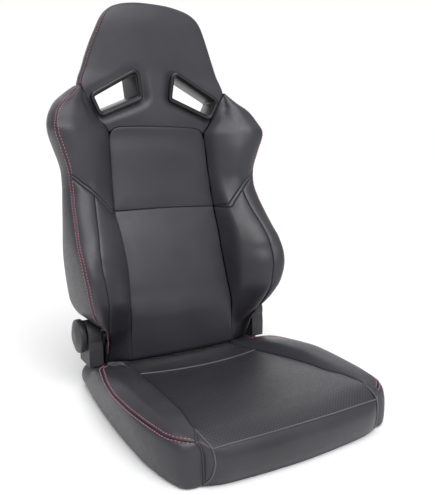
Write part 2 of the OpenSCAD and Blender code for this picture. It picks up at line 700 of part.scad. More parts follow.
// ---- Head and harness slots ----
head_edge = 22;
dish = 5;
function head_ring(z) =
    let (w = head_x(z), a = head_y(z), b = head_back_y(z), e = min(head_edge, 0.45 * (b - a), 0.6 * w))
    concat([for (k = [0 : 8]) let (s = k / 4 - 1) [(w - e) * s, a + dish * (1 - s * s) - 4, z]],
        [[w - e * 0.3, a + e * 0.3, z], [w, a + e, z], [w, b - e, z], [w - e * 0.3, b - e * 0.3, z],
            [w - e, b, z], [e - w, b, z], [e * 0.3 - w, b - e * 0.3, z], [-w, b - e, z],
            [-w, a + e, z], [e * 0.3 - w, a + e * 0.3, z]]);

slot_mid = [100, 683];
module slot_shape(r) hull() for (c = slot_corners) translate(c - slot_mid) circle(r = r, $fn = 24);
module slot_at() translate([slot_mid[0], slot_face_y, slot_mid[1]]) rotate([0, 0, -slot_toe])
    rotate([90, 0, 0]) translate([0, 0, -slot_depth]) children();
tunnel_r = 9;
opening_r = 4;
module head_pad() {
    color("#4a4a4e") difference() {
        loft([for (z = concat(levels(insert_top_z + seam_gap, crown_z),
            steps(crown_z + 8, back_top - 1, 6))) head_ring(z)]);
        for (side = [-1, 1]) on_side(side)
            slot_at() {
                translate([0, 0, -40]) linear_extrude(slot_depth + 80) slot_shape(tunnel_r + seam_gap);
                translate([0, 0, slot_depth + 2 - seam_gap]) linear_extrude(30)
                    slot_shape(flange_r + seam_gap);
            }
        stay_room();
    }
}
module bezel_ring(r_out, r_in, a, b) translate([0, 0, a]) linear_extrude(b - a) difference() {
    slot_shape(r_out);
    slot_shape(r_in);
}
module harness_bezel_front(side) {
    color("#353538") on_side(side) slot_at() {
        bezel_ring(tunnel_r, opening_r, slot_depth - slot_split, slot_depth + 2);
        bezel_ring(flange_r, opening_r, slot_depth + 2, slot_depth + 8);
    }
}
module harness_bezel_front_left() harness_bezel_front(1);
module harness_bezel_front_right() harness_bezel_front(-1);
module harness_bezel_rear(side) {
    color("#2c2c2f") on_side(side) slot_at() {
        bezel_ring(tunnel_r, opening_r + 1, 0, slot_depth - slot_split - seam_gap);
        bezel_ring(flange_r, opening_r + 1, -6, 0);
    }
}
module harness_bezel_rear_left() harness_bezel_rear(1);
module harness_bezel_rear_right() harness_bezel_rear(-1);

base_frame();
base_weld_nuts();
base_springs();
spring_clips();
cushion_core();
cushion_insert_front();
cushion_insert_rear();
cushion_bolster_left();
cushion_bolster_right();
cushion_front_band();
cushion_gusset_left();
cushion_gusset_right();
cushion_side_left();
cushion_side_right();
cushion_rear_band();
recliner_lower_arm_left();
recliner_lower_arm_right();
recliner_cover_left();
recliner_cover_right();
lower_arm_bolts();
back_frame();
back_wires();
back_core();
back_insert_lower();
back_insert_upper();
hip_bolster_left();
hip_bolster_right();
hip_wing_left();
hip_wing_right();
shoulder_bolster_left();
shoulder_bolster_right();
back_side_left();
back_side_right();
back_rear_panel();
head_pad();
harness_bezel_front_left();
harness_bezel_front_right();
harness_bezel_rear_left();
harness_bezel_rear_right();
recliner_upper_arm_left();
recliner_upper_arm_right();
recliner_disc_left();
recliner_disc_right();
upper_arm_bolts();
recliner_knob();
sync_rod();
rod_clip();
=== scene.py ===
import math

import bmesh
import bpy
import numpy as np
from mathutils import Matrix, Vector


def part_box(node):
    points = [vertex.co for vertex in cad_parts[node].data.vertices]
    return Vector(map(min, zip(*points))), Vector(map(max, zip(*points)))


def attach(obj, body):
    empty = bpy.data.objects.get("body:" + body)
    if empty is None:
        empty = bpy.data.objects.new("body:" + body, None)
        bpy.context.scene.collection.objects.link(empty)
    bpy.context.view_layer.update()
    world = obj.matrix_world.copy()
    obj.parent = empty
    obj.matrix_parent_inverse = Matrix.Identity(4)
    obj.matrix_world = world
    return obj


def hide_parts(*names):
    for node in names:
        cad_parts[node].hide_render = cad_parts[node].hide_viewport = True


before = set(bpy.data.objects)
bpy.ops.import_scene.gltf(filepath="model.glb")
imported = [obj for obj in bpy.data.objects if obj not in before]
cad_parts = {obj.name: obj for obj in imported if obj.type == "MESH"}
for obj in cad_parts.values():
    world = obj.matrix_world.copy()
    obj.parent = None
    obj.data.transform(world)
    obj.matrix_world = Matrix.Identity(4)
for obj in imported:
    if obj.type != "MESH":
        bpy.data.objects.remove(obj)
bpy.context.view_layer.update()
MM = 0.001
SIDES = ((1, "left"), (-1, "right"))
HANDS = ("left", "right")


# %% [markdown]
# ## Sizes
# The covers are drawn in millimetres. The few lengths that tie them to the frame are measured
# on the CAD nodes, so that the covers fit the frame wherever it is.
# %% Measure the frame
def high(node, axis):
    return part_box(node)[1][axis] / MM


head_top = high("head_pad", 2)
base_rear = high("cushion_rear_band", 1)
heel_x = high("recliner_upper_arm_left", 0) - 6
disc_low, disc_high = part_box("recliner_disc_left")
pivot_y = (disc_low[1] + disc_high[1]) / 2 / MM
pivot_z = (disc_low[2] + disc_high[2]) / 2 / MM
print("head top", round(head_top), "pivot", round(pivot_y), round(pivot_z), "heel", round(heel_x))


# %% [markdown]
# ## Lines that don't overshoot
# A pattern maker draws a seam through a few measured points with a flexible curve. The same
# is done here with cubic pieces whose slopes never let the line swing past its points.
# %% Smooth lines through known points
def slopes(rate):
    product = rate[:-1] * rate[1:]
    total = np.where(product > 0, rate[:-1] + rate[1:], 1)
    inner = np.where(product > 0, 2 * product / total, 0)
    return np.concatenate([rate[:1], inner, rate[-1:]])


def cubic(a, b, slope_a, slope_b, gap, s):
    """Cubic from a to b with the given slopes at its ends, at share s of the gap."""
    back = 1 - s
    start = a * (1 + 2 * s) * back * back + slope_a * gap * s * back * back
    return start + b * s * s * (3 - 2 * s) - slope_b * gap * s * s * back


def smooth_line(at, *values):
    """Functions of one measure, such as height, that pass through the values given."""
    at = np.array(at, float)
    gap = np.diff(at)
    lines = [np.array(v, float) for v in values]
    tangents = [slopes(np.diff(v) / gap) for v in lines]

    def find(t):
        t = np.clip(np.asarray(t, float), at[0], at[-1])
        i = np.clip(np.searchsorted(at, t, side="right") - 1, 0, len(gap) - 1)
        s = (t - at[i]) / gap[i]
        found = [cubic(v[i], v[i + 1], m[i], m[i + 1], gap[i], s) for v, m in zip(lines, tangents)]
        return found if len(found) > 1 else found[0]

    return find


def path(points):
    """A smooth path through points, as a function of the share of its length."""
    p = np.array(points, float)
    run = np.concatenate([[0], np.cumsum(np.linalg.norm(np.diff(p, axis=0), axis=1))])
    find = smooth_line(run / run[-1], *p.T)
    return lambda t: np.stack(np.broadcast_arrays(*find(t)), axis=-1)


def mix(a, b, t):
    return a + (b - a) * t


def ease(t):
    t = np.clip(t, 0, 1)
    return t * t * (3 - 2 * t)


def patch(south, north, west, east):
    """A surface stretched between four border paths that share their corners."""

    def at(u, v):
        u_, v_ = u[..., None], v[..., None]
        s0, s1, n0, n1 = (border(np.array(t)) for border, t in
                          ((south, 0.0), (south, 1.0), (north, 0.0), (north, 1.0)))
        corners = mix(mix(s0, s1, u_), mix(n0, n1, u_), v_)
        return mix(south(u), north(u), v_) + mix(west(v), east(v), u_) - corners

    return at


print("line tools ready")


# %% [markdown]
# ## Padded panels
# A sewn panel is cloth over foam: it crowns a little in the middle, and at each seam it rolls
# down into the join. A modeller could sculpt this. Here each panel is a grid over its own
# surface, with lines packed near the seams, lifted by its padding and lowered where it rolls.
# It has a back and walls too, so that it is a closed pad.
# %% Grid, normals and distances
ROLL = 3.2
EDGE_LINES = np.array([0, 0.4, 1.0, 2.0, 3.4])


def grid_lines(length, step, fine_start, fine_end):
    start = EDGE_LINES if fine_start else np.array([0.0])
    stop = length - (EDGE_LINES[::-1] if fine_end else np.array([0.0]))
    count = max(2, round((stop[0] - start[-1]) / step))
    middle = np.linspace(start[-1], stop[0], count + 1)[1:-1]
    return np.concatenate([start, middle, stop]) / length


def run_along(grid, axis):
    step = np.linalg.norm(np.diff(grid, axis=axis), axis=2)
    lead = np.zeros_like(np.take(step, [0], axis=axis))
    return np.concatenate([lead, np.cumsum(step, axis=axis)], axis=axis)


def normals_of(grid, out):
    across = np.gradient(grid, axis=1)
    up = np.gradient(grid, axis=0)
    n = np.cross(across, up)
    n /= np.maximum(np.linalg.norm(n, axis=2, keepdims=True), 1e-9)
    facing = np.sum(n * np.array(out, float), axis=2)
    return n if np.median(facing) > 0 else -n


def edge_distances(grid):
    across, up = run_along(grid, 1), run_along(grid, 0)
    return {"w": across, "e": across[:, -1:] - across, "s": up, "n": up[-1:] - up}


# %% [markdown]
# The pad's faces are made cell by cell. Where a neighbouring cell is missing, at a border or
# round a hole, a wall joins the front to the back.
# %% Closed pads
def pad_faces(rows, cols, keep):
    index = np.arange(rows * cols).reshape(rows, cols)
    back = rows * cols
    faces = []
    for i in range(rows - 1):
        for j in range(cols - 1):
            if not keep[i, j]:
                continue
            a, b, c, d = index[i, j], index[i, j + 1], index[i + 1, j + 1], index[i + 1, j]
            faces += [(a, b, c, d), (d + back, c + back, b + back, a + back)]
            for p, q, ni, nj in ((a, b, i - 1, j), (b, c, i, j + 1), (c, d, i + 1, j), (d, a, i, j - 1)):
                inside = 0 <= ni < rows - 1 and 0 <= nj < cols - 1
                if not (inside and keep[ni, nj]):
                    faces.append((q, p, p + back, q + back))
    return faces


def mesh_object(name, points, faces, material):
    mesh = bpy.data.meshes.new(name)
    mesh.from_pydata((np.asarray(points) * MM).tolist(), [], [tuple(map(int, f)) for f in faces])
    bm = bmesh.new()
    bm.from_mesh(mesh)
    bmesh.ops.recalc_face_normals(bm, faces=bm.faces)
    bm.to_mesh(mesh)
    bm.free()
    mesh.polygons.foreach_set("use_smooth", [True] * len(mesh.polygons))
    mesh.materials.append(material)
    made = bpy.data.objects.new(name, mesh)
    bpy.context.scene.collection.objects.link(made)
    return made


surfaces = {}


def sewn_panel(name, shape, out, material, rolled="news", puff=2.0, reach=30.0, thick=12.0,
               step=7.0, hole=None, extra=None, side=1):
    """A closed pad over shape(u, v), in mm, rolled down at the borders named."""
    t = np.linspace(0, 1, 25)
    u, v = np.meshgrid(t, t)
    rough = shape(u, v)
    width = np.percentile(run_along(rough, 1)[:, -1], 60)
    height = np.percentile(run_along(rough, 0)[-1], 60)
    across = grid_lines(width, step, "w" in rolled, "e" in rolled)
    up = grid_lines(height, step, "s" in rolled, "n" in rolled)
    u, v = np.meshgrid(across, up)
    grid = shape(u, v)
    n = normals_of(grid, out)
    away = edge_distances(grid)
    near = np.min([away[b] for b in rolled], axis=0) if rolled else np.full(u.shape, 1e3)
    sink = ROLL - np.sqrt(np.maximum(0, ROLL**2 - np.clip(ROLL - near, 0, ROLL) ** 2))
    lift = puff * (1 - (1 - np.clip(near / reach, 0, 1)) ** 2) - sink
    if extra is not None:
        lift = lift + extra(grid, near)
    centre = (grid[:-1, :-1] + grid[1:, 1:]) / 2
    keep = np.ones(centre.shape[:2], bool) if hole is None else ~hole(centre)
    front = grid + n * lift[..., None]
    rear = grid - n * thick
    flip = np.array([side, 1, 1])
    front, rear, n = front * flip, rear * flip, n * flip
    surfaces[name] = (front, n)
    points = np.concatenate([front.reshape(-1, 3), rear.reshape(-1, 3)])
    made = mesh_object(name, points, pad_faces(*u.shape, keep), material)
    return made


def dress(piece, body, slot, *nodes, fill=0.85):
    """Puts a padded piece on its body in place of its plain CAD solids."""
    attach(piece, body)
    if nodes:
        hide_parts(*nodes)
    return piece


print("panel tools ready")


# %% [markdown]
# ## Finishes
# A node material is a small chain: where am I, what pattern is here, how rough and what colour
# is it. One function adds a node, sets it and links it; the chains below read top to bottom.
# %% Colour and node helpers
def linear(hex_colour):
    """An sRGB hex value as the linear colour that a shader works with."""
    parts = [int(hex_colour[i:i + 2], 16) / 255 for i in (0, 2, 4)]
    return tuple(c / 12.92 if c <= 0.04045 else ((c + 0.055) / 1.055) ** 2.4 for c in parts) + (1.0,)


def add(material, kind, inputs=None, **settings):
    """Adds a node. Inputs are given by name or place; a socket is linked and a value is set."""
    made = material.node_tree.nodes.new(kind)
    for name, value in settings.items():
        setattr(made, name, value)
    for name, value in (inputs or {}).items():
        if isinstance(value, bpy.types.NodeSocket):
            material.node_tree.links.new(value, made.inputs[name])
        else:
            made.inputs[name].default_value = value
    return made


def new_material(name, roughness, metallic=0.0, **fixed):
    material = bpy.data.materials.new(name)
    material.use_nodes = True
    surface = material.node_tree.nodes["Principled BSDF"]
    surface.inputs["Roughness"].default_value = roughness
    surface.inputs["Metallic"].default_value = metallic
    for socket, value in fixed.items():
        surface.inputs[socket.replace("_", " ")].default_value = value
    place = add(material, "ShaderNodeTexCoord").outputs["Object"]
    return material, surface, place


def join(material, source, surface, socket):
    material.node_tree.links.new(source, surface.inputs[socket])


def tint(material, share, dark, light):
    """A colour between two hex values, by a share from a pattern."""
    both = {0: share, 6: linear(dark), 7: linear(light)}
    return add(material, "ShaderNodeMix", both, data_type="RGBA").outputs[2]


def noise(material, place, size_mm, detail=3.0, roughness=0.5):
    """Soft random pattern whose blobs are about size_mm across."""
    given = {"Vector": place, "Scale": 1 / (size_mm * MM), "Detail": detail, "Roughness": roughness}
    return add(material, "ShaderNodeTexNoise", given).outputs["Fac"]


def spread(material, value, low_in, high_in, low_out, high_out):
    given = {"Value": value, "From Min": low_in, "From Max": high_in, "To Min": low_out, "To Max": high_out}
    return add(material, "ShaderNodeMapRange", given).outputs["Result"]


def bump(material, height, depth_mm, strength, under=None):
    given = {"Height": height, "Distance": depth_mm * MM, "Strength": strength}
    if under is not None:
        given["Normal"] = under
    return add(material, "ShaderNodeBump", given).outputs["Normal"]


print("node helpers ready")


# %% [markdown]
# ### PVC leathercloth
# The cover is knitted fabric with a calendered PVC face, embossed with a leather grain. The
# embossing roller leaves rounded pebbles about a millimetre across; they are drawn at twice
# that, because a finer grain would vanish at arm's length. The face has a satin shine that
# varies softly where the foam stretches it.
# %% Leathercloth
def leathercloth(name, dark, light, roughness, grain_mm=2.2, depth=0.35):
    material, surface, place = new_material(name, roughness)
    broad = noise(material, place, 120, detail=2.0)
    share = spread(material, broad, 0.3, 0.7, 0.0, 1.0)
    join(material, tint(material, share, dark, light), surface, "Base Color")
    fine = noise(material, place, 9, detail=4.0, roughness=0.6)
    shine = spread(material, fine, 0.3, 0.7, roughness - 0.05, roughness + 0.06)
    join(material, shine, surface, "Roughness")
    pebbles = add(material, "ShaderNodeTexVoronoi", {"Vector": place, "Scale": 1 / (grain_mm * MM)},
                  feature="SMOOTH_F1").outputs["Distance"]
    folds = noise(material, place, 26, detail=3.0)
    first = bump(material, folds, 1.2, 0.18)
    join(material, bump(material, pebbles, depth, 0.22, first), surface, "Normal")
    return material


cover = leathercloth("satin_pvc_leathercloth", "2C2C31", "36363C", 0.44)
# The piping copy has a smoother grain, which is real, and a lighter colour than the cover, which is a painted
# highlight for the light the cord catches.
piping_cover_painted_highlight = leathercloth("smooth_pvc_piping", "4A4A50", "5C5C62", 0.4, grain_mm=1.6, depth=0.15)
cover_rear = leathercloth("plain_pvc_leathercloth", "212124", "2A2A2E", 0.55)
print("leathercloth:", cover.name, cover_rear.name)


# %% [markdown]
# ### Perforated leathercloth
# The sitting surface is punched with fine holes in staggered rows, so that it breathes. A
# Voronoi pattern with no randomness is a square grid of points; turned by 45 degrees it
# becomes staggered rows. Real holes are about 1 mm across and 4 mm apart. Here they are about
# 3 mm across and 5 mm apart, because finer ones would be too small to show.
# %% Perforation
hole_pitch = 4.9


def punched(name, dark, light, hole, roughness):
    material = leathercloth(name, dark, light, roughness)
    tree = material.node_tree
    surface = tree.nodes["Principled BSDF"]
    place = next(n for n in tree.nodes if n.type == "TEX_COORD").outputs["Object"]
    turned = add(material, "ShaderNodeMapping", {"Vector": place, "Rotation": (0, 0, math.pi / 4)})
    dots = add(material, "ShaderNodeTexVoronoi",
               {"Vector": turned.outputs["Vector"], "Scale": 1 / (hole_pitch * MM), "Randomness": 0.0},
               voronoi_dimensions="2D").outputs["Distance"]
    face = spread(material, dots, 0.26, 0.4, 0.0, 1.0)
    plain = surface.inputs["Base Color"].links[0].from_socket
    seen = add(material, "ShaderNodeMix", {0: face, 6: linear(hole), 7: plain}, data_type="RGBA")
    join(material, seen.outputs[2], surface, "Base Color")
    grain = surface.inputs["Normal"].links[0].from_socket
    join(material, bump(material, face, 0.6, 0.4, grain), surface, "Normal")
    return material


cover_punched = punched("perforated_pvc_leathercloth", "2E2E33", "38383E", "0E0E10", 0.44)
print("perforated:", cover_punched.name)


# %% [markdown]
# ### Thread, foam, plastics and metals
# The decorative seams are sewn with bonded polyester, a twisted crimson thread with a faint
# sheen. The foam is cold-moulded polyurethane: matte, straw-coloured, with fine open pores.
# The harness bezels and the knob are injection-moulded ABS with a spark-eroded satin texture,
# and the recliner covers are grained polypropylene. The frame tube is powder-coated, which
# leaves a slight orange peel; the arms are e-coated pressings; the small hardware is
# zinc-plated, and the springs are oiled spring steel.
# %% Thread and foam
def thread(name, dark, light):
    material, surface, place = new_material(name, 0.55, Sheen_Weight=0.3)
    strands = noise(material, place, 1.6, detail=2.0)
    share = spread(material, strands, 0.35, 0.65, 0.0, 1.0)
    join(material, tint(material, share, dark, light), surface, "Base Color")
    join(material, bump(material, strands, 0.3, 0.4), surface, "Normal")
    return material


def foam(name, dark, light):
    material, surface, place = new_material(name, 0.9)
    pores = add(material, "ShaderNodeTexVoronoi", {"Vector": place, "Scale": 1 / (3.5 * MM)})
    share = spread(material, noise(material, place, 60), 0.3, 0.7, 0.0, 1.0)
    join(material, tint(material, share, dark, light), surface, "Base Color")
    join(material, bump(material, pores.outputs["Distance"], 0.8, 0.5), surface, "Normal")
    return material


crimson = thread("bonded_polyester_thread", "8A384C", "C27486")
seat_foam = foam("cold_moulded_pu_foam", "B9A878", "CDBE90")
print("thread and foam ready")


# %% Plastics and metals
def moulded(name, dark, light, roughness, texture_mm, strength):
    material, surface, place = new_material(name, roughness)
    share = spread(material, noise(material, place, 35), 0.35, 0.65, 0.0, 1.0)
    join(material, tint(material, share, dark, light), surface, "Base Color")
    skin = noise(material, place, texture_mm, detail=4.0, roughness=0.65)
    shine = spread(material, skin, 0.3, 0.7, roughness - 0.05, roughness + 0.08)
    join(material, shine, surface, "Roughness")
    join(material, bump(material, skin, 0.25, strength), surface, "Normal")
    return material


def metal(name, dark, light, roughness, mark_mm, strength=0.15):
    material, surface, place = new_material(name, roughness, metallic=1.0)
    marks = noise(material, place, mark_mm, detail=5.0, roughness=0.6)
    share = spread(material, marks, 0.35, 0.65, 0.0, 1.0)
    join(material, tint(material, share, dark, light), surface, "Base Color")
    shine = spread(material, marks, 0.3, 0.7, roughness - 0.08, roughness + 0.1)
    join(material, shine, surface, "Roughness")
    join(material, bump(material, marks, 0.15, strength), surface, "Normal")
    return material


bezel_abs = moulded("spark_textured_abs", "151517", "1C1C1F", 0.34, 1.8, 0.25)
knob_abs = moulded("satin_moulded_abs", "26262A", "303034", 0.4, 2.0, 0.2)
cover_pp = moulded("grained_polypropylene", "303033", "3B3B3F", 0.5, 2.6, 0.35)
frame_coat = moulded("powder_coated_steel", "121214", "1B1B1E", 0.38, 5.0, 0.3)
arm_coat = moulded("e_coated_steel", "232326", "2E2E32", 0.45, 3.0, 0.2)
zinc = metal("zinc_plated_steel", "8F9296", "B4B7BB", 0.34, 7.0)
spring_wire = metal("oiled_spring_steel", "4B4B4E", "68686C", 0.36, 4.0)
print("plastics and metals ready")


# %% [markdown]
# ## The hard parts
# The CAD nodes already have the right shape. Each one gets its real finish, and a fine bevel
# softens the edges as deburring and moulding do.
# %% Dress the CAD nodes
hard_finish = {
    "base_frame": frame_coat, "base_weld_nuts": zinc, "base_springs": spring_wire,
    "spring_clips": frame_coat, "lower_arm_bolts": zinc, "back_frame": frame_coat,
    "back_wires": spring_wire, "upper_arm_bolts": zinc, "sync_rod": zinc, "rod_clip": spring_wire}
for hand in HANDS:
    hard_finish["recliner_lower_arm_" + hand] = arm_coat
    hard_finish["recliner_upper_arm_" + hand] = arm_coat
    hard_finish["recliner_disc_" + hand] = zinc
    hard_finish["recliner_cover_" + hand] = cover_pp
bevel_mm = {"recliner_cover_left": 1.1, "recliner_cover_right": 1.1, "base_frame": 0.5}
for node_name, finish in hard_finish.items():
    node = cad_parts[node_name]
    node.data.materials.clear()
    node.data.materials.append(finish)
    weld = node.modifiers.new("weld", "WELD")
    weld.merge_threshold = 0.01 * MM
    soften = node.modifiers.new("soften", "BEVEL")
    soften.width = bevel_mm.get(node_name, 0.4) * MM
    soften.segments = 2
    soften.limit_method = "ANGLE"
    soften.angle_limit = math.radians(50)
    soften.harden_normals = True
print("hard parts dressed:", len(hard_finish))


# %% [markdown]
# ## The seam lines of the backrest
# Everything on the front of the backrest is one rolling surface. It is described by a few
# lines that climb it: the valley beside the centre panel, the crest of the bolster, and the
# outer ridge where the front meets the side boxing. Each line gives its distance from the
# centre and its depth at each height.
# %% Valley, crest and ridge
valley = smooth_line(
    [56, 62, 160, 220, 280, 340, 403, 470, 540, 585, 600, 617, 638, 671, 697],
    [136, 136, 136, 134, 133, 135, 136, 133, 131, 129, 138, 150, 163, 180, 189],
    [195, 186, 186, 203, 226, 250, 278, 296, 309, 317, 316, 316, 317, 318, 322])
crest = smooth_line(
    [56, 99, 160, 223, 258, 312, 355, 404, 444, 485, 541, 590, 617, 645, 697],
    [184, 187, 204, 216, 222, 227, 222, 213, 208, 200, 204, 210, 207, 198, 190.5],
    [216, 202, 150, 117, 117, 135, 162, 205, 231, 246, 247, 255, 270, 291, 321])
ridge = smooth_line(
    [56, 99, 139, 184, 223, 258, 295, 328, 355, 391, 426, 458, 491, 541, 590, 622, 647, 667, 697],
    [195, 195.5, 199, 232, 247, 254, 258, 258, 255, 250, 246, 243, 244, 257, 271, 263, 247, 223, 192],
    [214, 191, 176, 148, 128, 123, 133, 155, 180, 208, 233, 249, 254, 252, 249, 271, 285, 302, 323])
steepness = smooth_line([56, 160, 258, 403, 470, 600, 697], [0.5, 0.55, 0.6, 0.68, 0.55, 0.42, 0.4])
rear_corner = smooth_line(
    [56, 128, 150, 163, 178, 205, 300, 383, 488, 600, 650, 697],
    [heel_x, heel_x, heel_x + 1, 222, 236, 246, 252, 246, 238, 262, 244, 188],
    [254, 256, 259, 284, 293, 300, 312, 324, 342, 360, 371, 378])
centre_dish = 5.0


def across_section(x, knots):
    """Depth at distance x on the section through the knots, each a pair of x and depth."""
    px = np.stack([k[0] for k in knots])
    py = np.stack([k[1] for k in knots])
    gap = np.maximum(np.diff(px, axis=0), 0.1)
    m = slopes(np.diff(py, axis=0) / gap)
    found = py[0]
    for i in range(len(knots) - 1):
        s = np.clip((x - px[i]) / gap[i], 0, 1)
        found = np.where(x >= px[i], cubic(py[i], py[i + 1], m[i], m[i + 1], gap[i], s), found)
    return found


print("ridge at 300 mm:", [round(float(v)) for v in ridge(300)])


# %% [markdown]
# ## Round the harness slots
# A shoulder strap passes through each slot. The slot is a four-cornered hole with round
# corners, toed out a little to face the shoulder. The leather is pulled down under the rim of
# the plastic bezel, which leaves a soft moat round it.
# %% The slot outline
slot_corners = np.array([[57, 722], [156, 667], [143, 640], [51, 678]], float)
slot_mid = np.array([100.0, 683.0])
slot_toe = math.radians(6)
slot_depth = 69.0
tunnel_r = 9.0
rim_proud = 8.0
rim_reach = 70.0  # roughly from the middle of the slot to the outer end of the rim
rim_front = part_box("harness_bezel_front_left")[0][1] / MM
slot_face = rim_front + rim_proud * math.cos(slot_toe) + rim_reach * math.sin(slot_toe)


def slot_distance(x, z):
    """Distance from the slot's corner polygon, negative inside it."""
    p = np.stack([np.abs(x), z], axis=-1)
    nearest = np.full(p.shape[:-1], 1e9)
    inside = np.ones(p.shape[:-1], bool)
    for a, b in zip(slot_corners, np.roll(slot_corners, -1, axis=0)):
        d = b - a
        t = np.clip(((p - a) @ d) / (d @ d), 0, 1)
        nearest = np.minimum(nearest, np.linalg.norm(p - a - t[..., None] * d, axis=-1))
        inside &= (d[0] * (p[..., 1] - a[1]) - d[1] * (p[..., 0] - a[0])) < 0
    return np.where(inside, -nearest, nearest)


def slot_plane(x):
    """Depth of the plane that the bezel's rim lies on."""
    return slot_face - (np.abs(x) - slot_mid[0]) * math.tan(slot_toe)


def seat_bezel(x, z, y):
    d = slot_distance(x, z)
    level = mix(slot_plane(x) - 1.2, y, ease((d - 13) / 24))
    return level + 2.5 * np.exp(-(((d - 20) / 6.0) ** 2))


print("slot face at", round(slot_face, 1), "mm")


# %% [markdown]
# ## The front of the backrest and the head
# With those lines, the depth at any place on the front is a smooth curve across its section.
# %% Front surfaces
head_edge = smooth_line(
    [585, 600, 617, 638, 671, 697, 714, 732, 770, 802, 829, 847, 866, 881, 891],
    [129, 138, 150, 163, 180, 192, 185, 177, 163, 150, 138, 130, 118, 98, 66],
    [317, 316, 316, 317, 318, 322, 327, 331, 333, 332, 330, 330, 331, 333, 336])
head_middle = smooth_line([585, 600, 640, 697, 744, 800, 850, 880, 898],
                          [311, 312, 318, 325, 329, 328, 326, 329, 337])


def back_front(x, z):
    x = np.abs(x)
    (vx, vy), (mx, my), (rx, ry) = valley(z), crest(z), ridge(z)
    wall = vx + np.minimum(20, 0.3 * (rx - vx))
    mx = np.clip(mx, mix(wall, rx, 0.2), mix(wall, rx, 0.9))
    knots = [(vx, vy), (wall, vy - steepness(z) * (vy - my)), (mx, my),
             ((mx + rx) / 2, (my + ry) / 2 - 4.5 * np.clip((rx - vx) / 60, 0, 1)), (rx, ry)]
    inside = vy - centre_dish * (1 - np.clip(x / vx, 0, 1) ** 2)
    depth = np.where(x < vx, inside, across_section(x, knots))
    return seat_bezel(x, z, depth)


def head_front(x, z):
    ex, ey = head_edge(z)
    middle = head_middle(z)
    depth = middle + (ey - middle) * np.clip(np.abs(x) / ex, 0, 1) ** 2
    return seat_bezel(x, z, depth)


def on_front(flat, depth):
    """A panel shape whose flat outline is drawn in x and z, laid on a front surface."""

    def at(u, v):
        p = flat(u, v)
        return np.stack([p[..., 0], depth(p[..., 0], p[..., 1]), p[..., 1]], axis=-1)

    return at


def line_xz(find, z_from, z_to, count=14):
    z = np.linspace(z_from, z_to, count)
    return path(np.stack([find(z)[0], z], axis=-1))


def mirror_path(border):
    return lambda t: border(t) * np.array([-1, 1])


print("front depth at the centre, 300 mm up:", round(float(back_front(0, np.array(300.0)))))


# %% [markdown]
# ## Centre panel of the backrest
# A plain panel with one cross seam. Its top corners are rounded, as a square corner would
# pucker when it is turned over the foam.
# %% Back inserts
seam_z = 402.0
insert_side_low = line_xz(valley, 54, seam_z)
insert_lower_flat = patch(
    path([[-136, 54], [0, 54], [136, 54]]), path([[-136, seam_z], [0, seam_z + 3], [136, seam_z]]),
    mirror_path(insert_side_low), insert_side_low)
insert_lower = sewn_panel("back_insert_lower_cover", on_front(insert_lower_flat, back_front),
                          (0, -1, 0), cover, puff=2.5, reach=45, thick=14)
dress(insert_lower, "backrest", "leathercloth", "back_insert_lower", "back_core")

insert_side_high = path([[136, seam_z], [134.5, 440], [132.5, 490], [131, 540], [129, 575], [123, 590]])
insert_top = path([[-123, 590], [-113, 597.5], [-98, 600.5], [-50, 602.5], [0, 603],
                   [50, 602.5], [98, 600.5], [113, 597.5], [123, 590]])
insert_upper_flat = patch(path([[-136, seam_z], [0, seam_z + 3], [136, seam_z]]), insert_top,
                          mirror_path(insert_side_high), insert_side_high)
insert_upper = sewn_panel("back_insert_upper_cover", on_front(insert_upper_flat, back_front),
                          (0, -1, 0), cover, puff=2.5, reach=40, thick=14)
dress(insert_upper, "backrest", "leathercloth", "back_insert_upper")
print("centre panels:", insert_lower.name, insert_upper.name)


# %% [markdown]
# ## Bolsters, wings and shoulders
# The bolster that holds the hips is a separate cushion beside the centre panel. Outside it a
# narrow wing is stitched on, and above a slanting tuck the shoulder piece takes over. Left
# and right are cut from the same pattern, so each shape is drawn once and mirrored.
# %% Side panels of the front
tuck = path([[136, 400], [157, 402], [170, 416], [185, 432], [205, 452], [222, 466], [243.5, 486]])
tuck_up = path([[136, 402], [155, 411], [168, 425], [183, 441], [203, 461], [221, 475], [244, 494]])
tuck_share = 0.56


def part_of(border, a, b):
    return lambda t: border(mix(a, b, np.asarray(t, float)))


def both_sides(name, shape, out, material, slot, body, nodes, fill=0.85, **given):
    """The left piece and its mirror image, each in place of its own CAD nodes."""
    for side, hand in SIDES:
        made = sewn_panel(name + "_" + hand, shape, out, material, side=side, **given)
        dress(made, body, slot, *[n + "_" + hand for n in nodes], fill=fill)
    print("made", name, "left and right,", len(made.data.polygons), "faces each")


tuck_join = tuck(np.array(tuck_share))
hip_inner = line_xz(valley, 54, 400)
thin_seam = line_xz(crest, 54, float(tuck_join[1]))
ridge_low = line_xz(ridge, 55, 486, 26)


def ended(border, start=None, stop=None):
    """The same border, moved smoothly so that it ends exactly at the given corners."""
    a, b = border(np.array(0.0)), border(np.array(1.0))
    da = 0 if start is None else np.array(start) - a
    db = 0 if stop is None else np.array(stop) - b
    return lambda t: border(t) + mix(da, db, np.asarray(t, float)[..., None])


def straight(a, b):
    return lambda t: mix(np.array(a, float), np.array(b, float), np.asarray(t, float)[..., None])


def hem_between(a, b):
    return straight(a(np.array(0.0)), b(np.array(0.0)))


hip_top = part_of(tuck, 0, tuck_share)
wing_top = part_of(tuck, tuck_share, 1)
thin_seam = ended(thin_seam, stop=tuck_join)
hip_flat = patch(hem_between(hip_inner, thin_seam), hip_top, ended(hip_inner, stop=hip_top(np.array(0.0))),
                 thin_seam)
wing_flat = patch(hem_between(thin_seam, ridge_low), wing_top, thin_seam,
                  ended(ridge_low, stop=wing_top(np.array(1.0))))
both_sides("hip_bolster_cover", on_front(hip_flat, back_front), (0, -1, 0), cover,
           "leathercloth", "backrest", ["hip_bolster"], puff=3.0, reach=40, step=6.5)
both_sides("hip_wing_cover", on_front(wing_flat, back_front), (0, -1, 0), cover,
           "leathercloth", "backrest", ["hip_wing"], puff=2.0, reach=18, step=6.5)

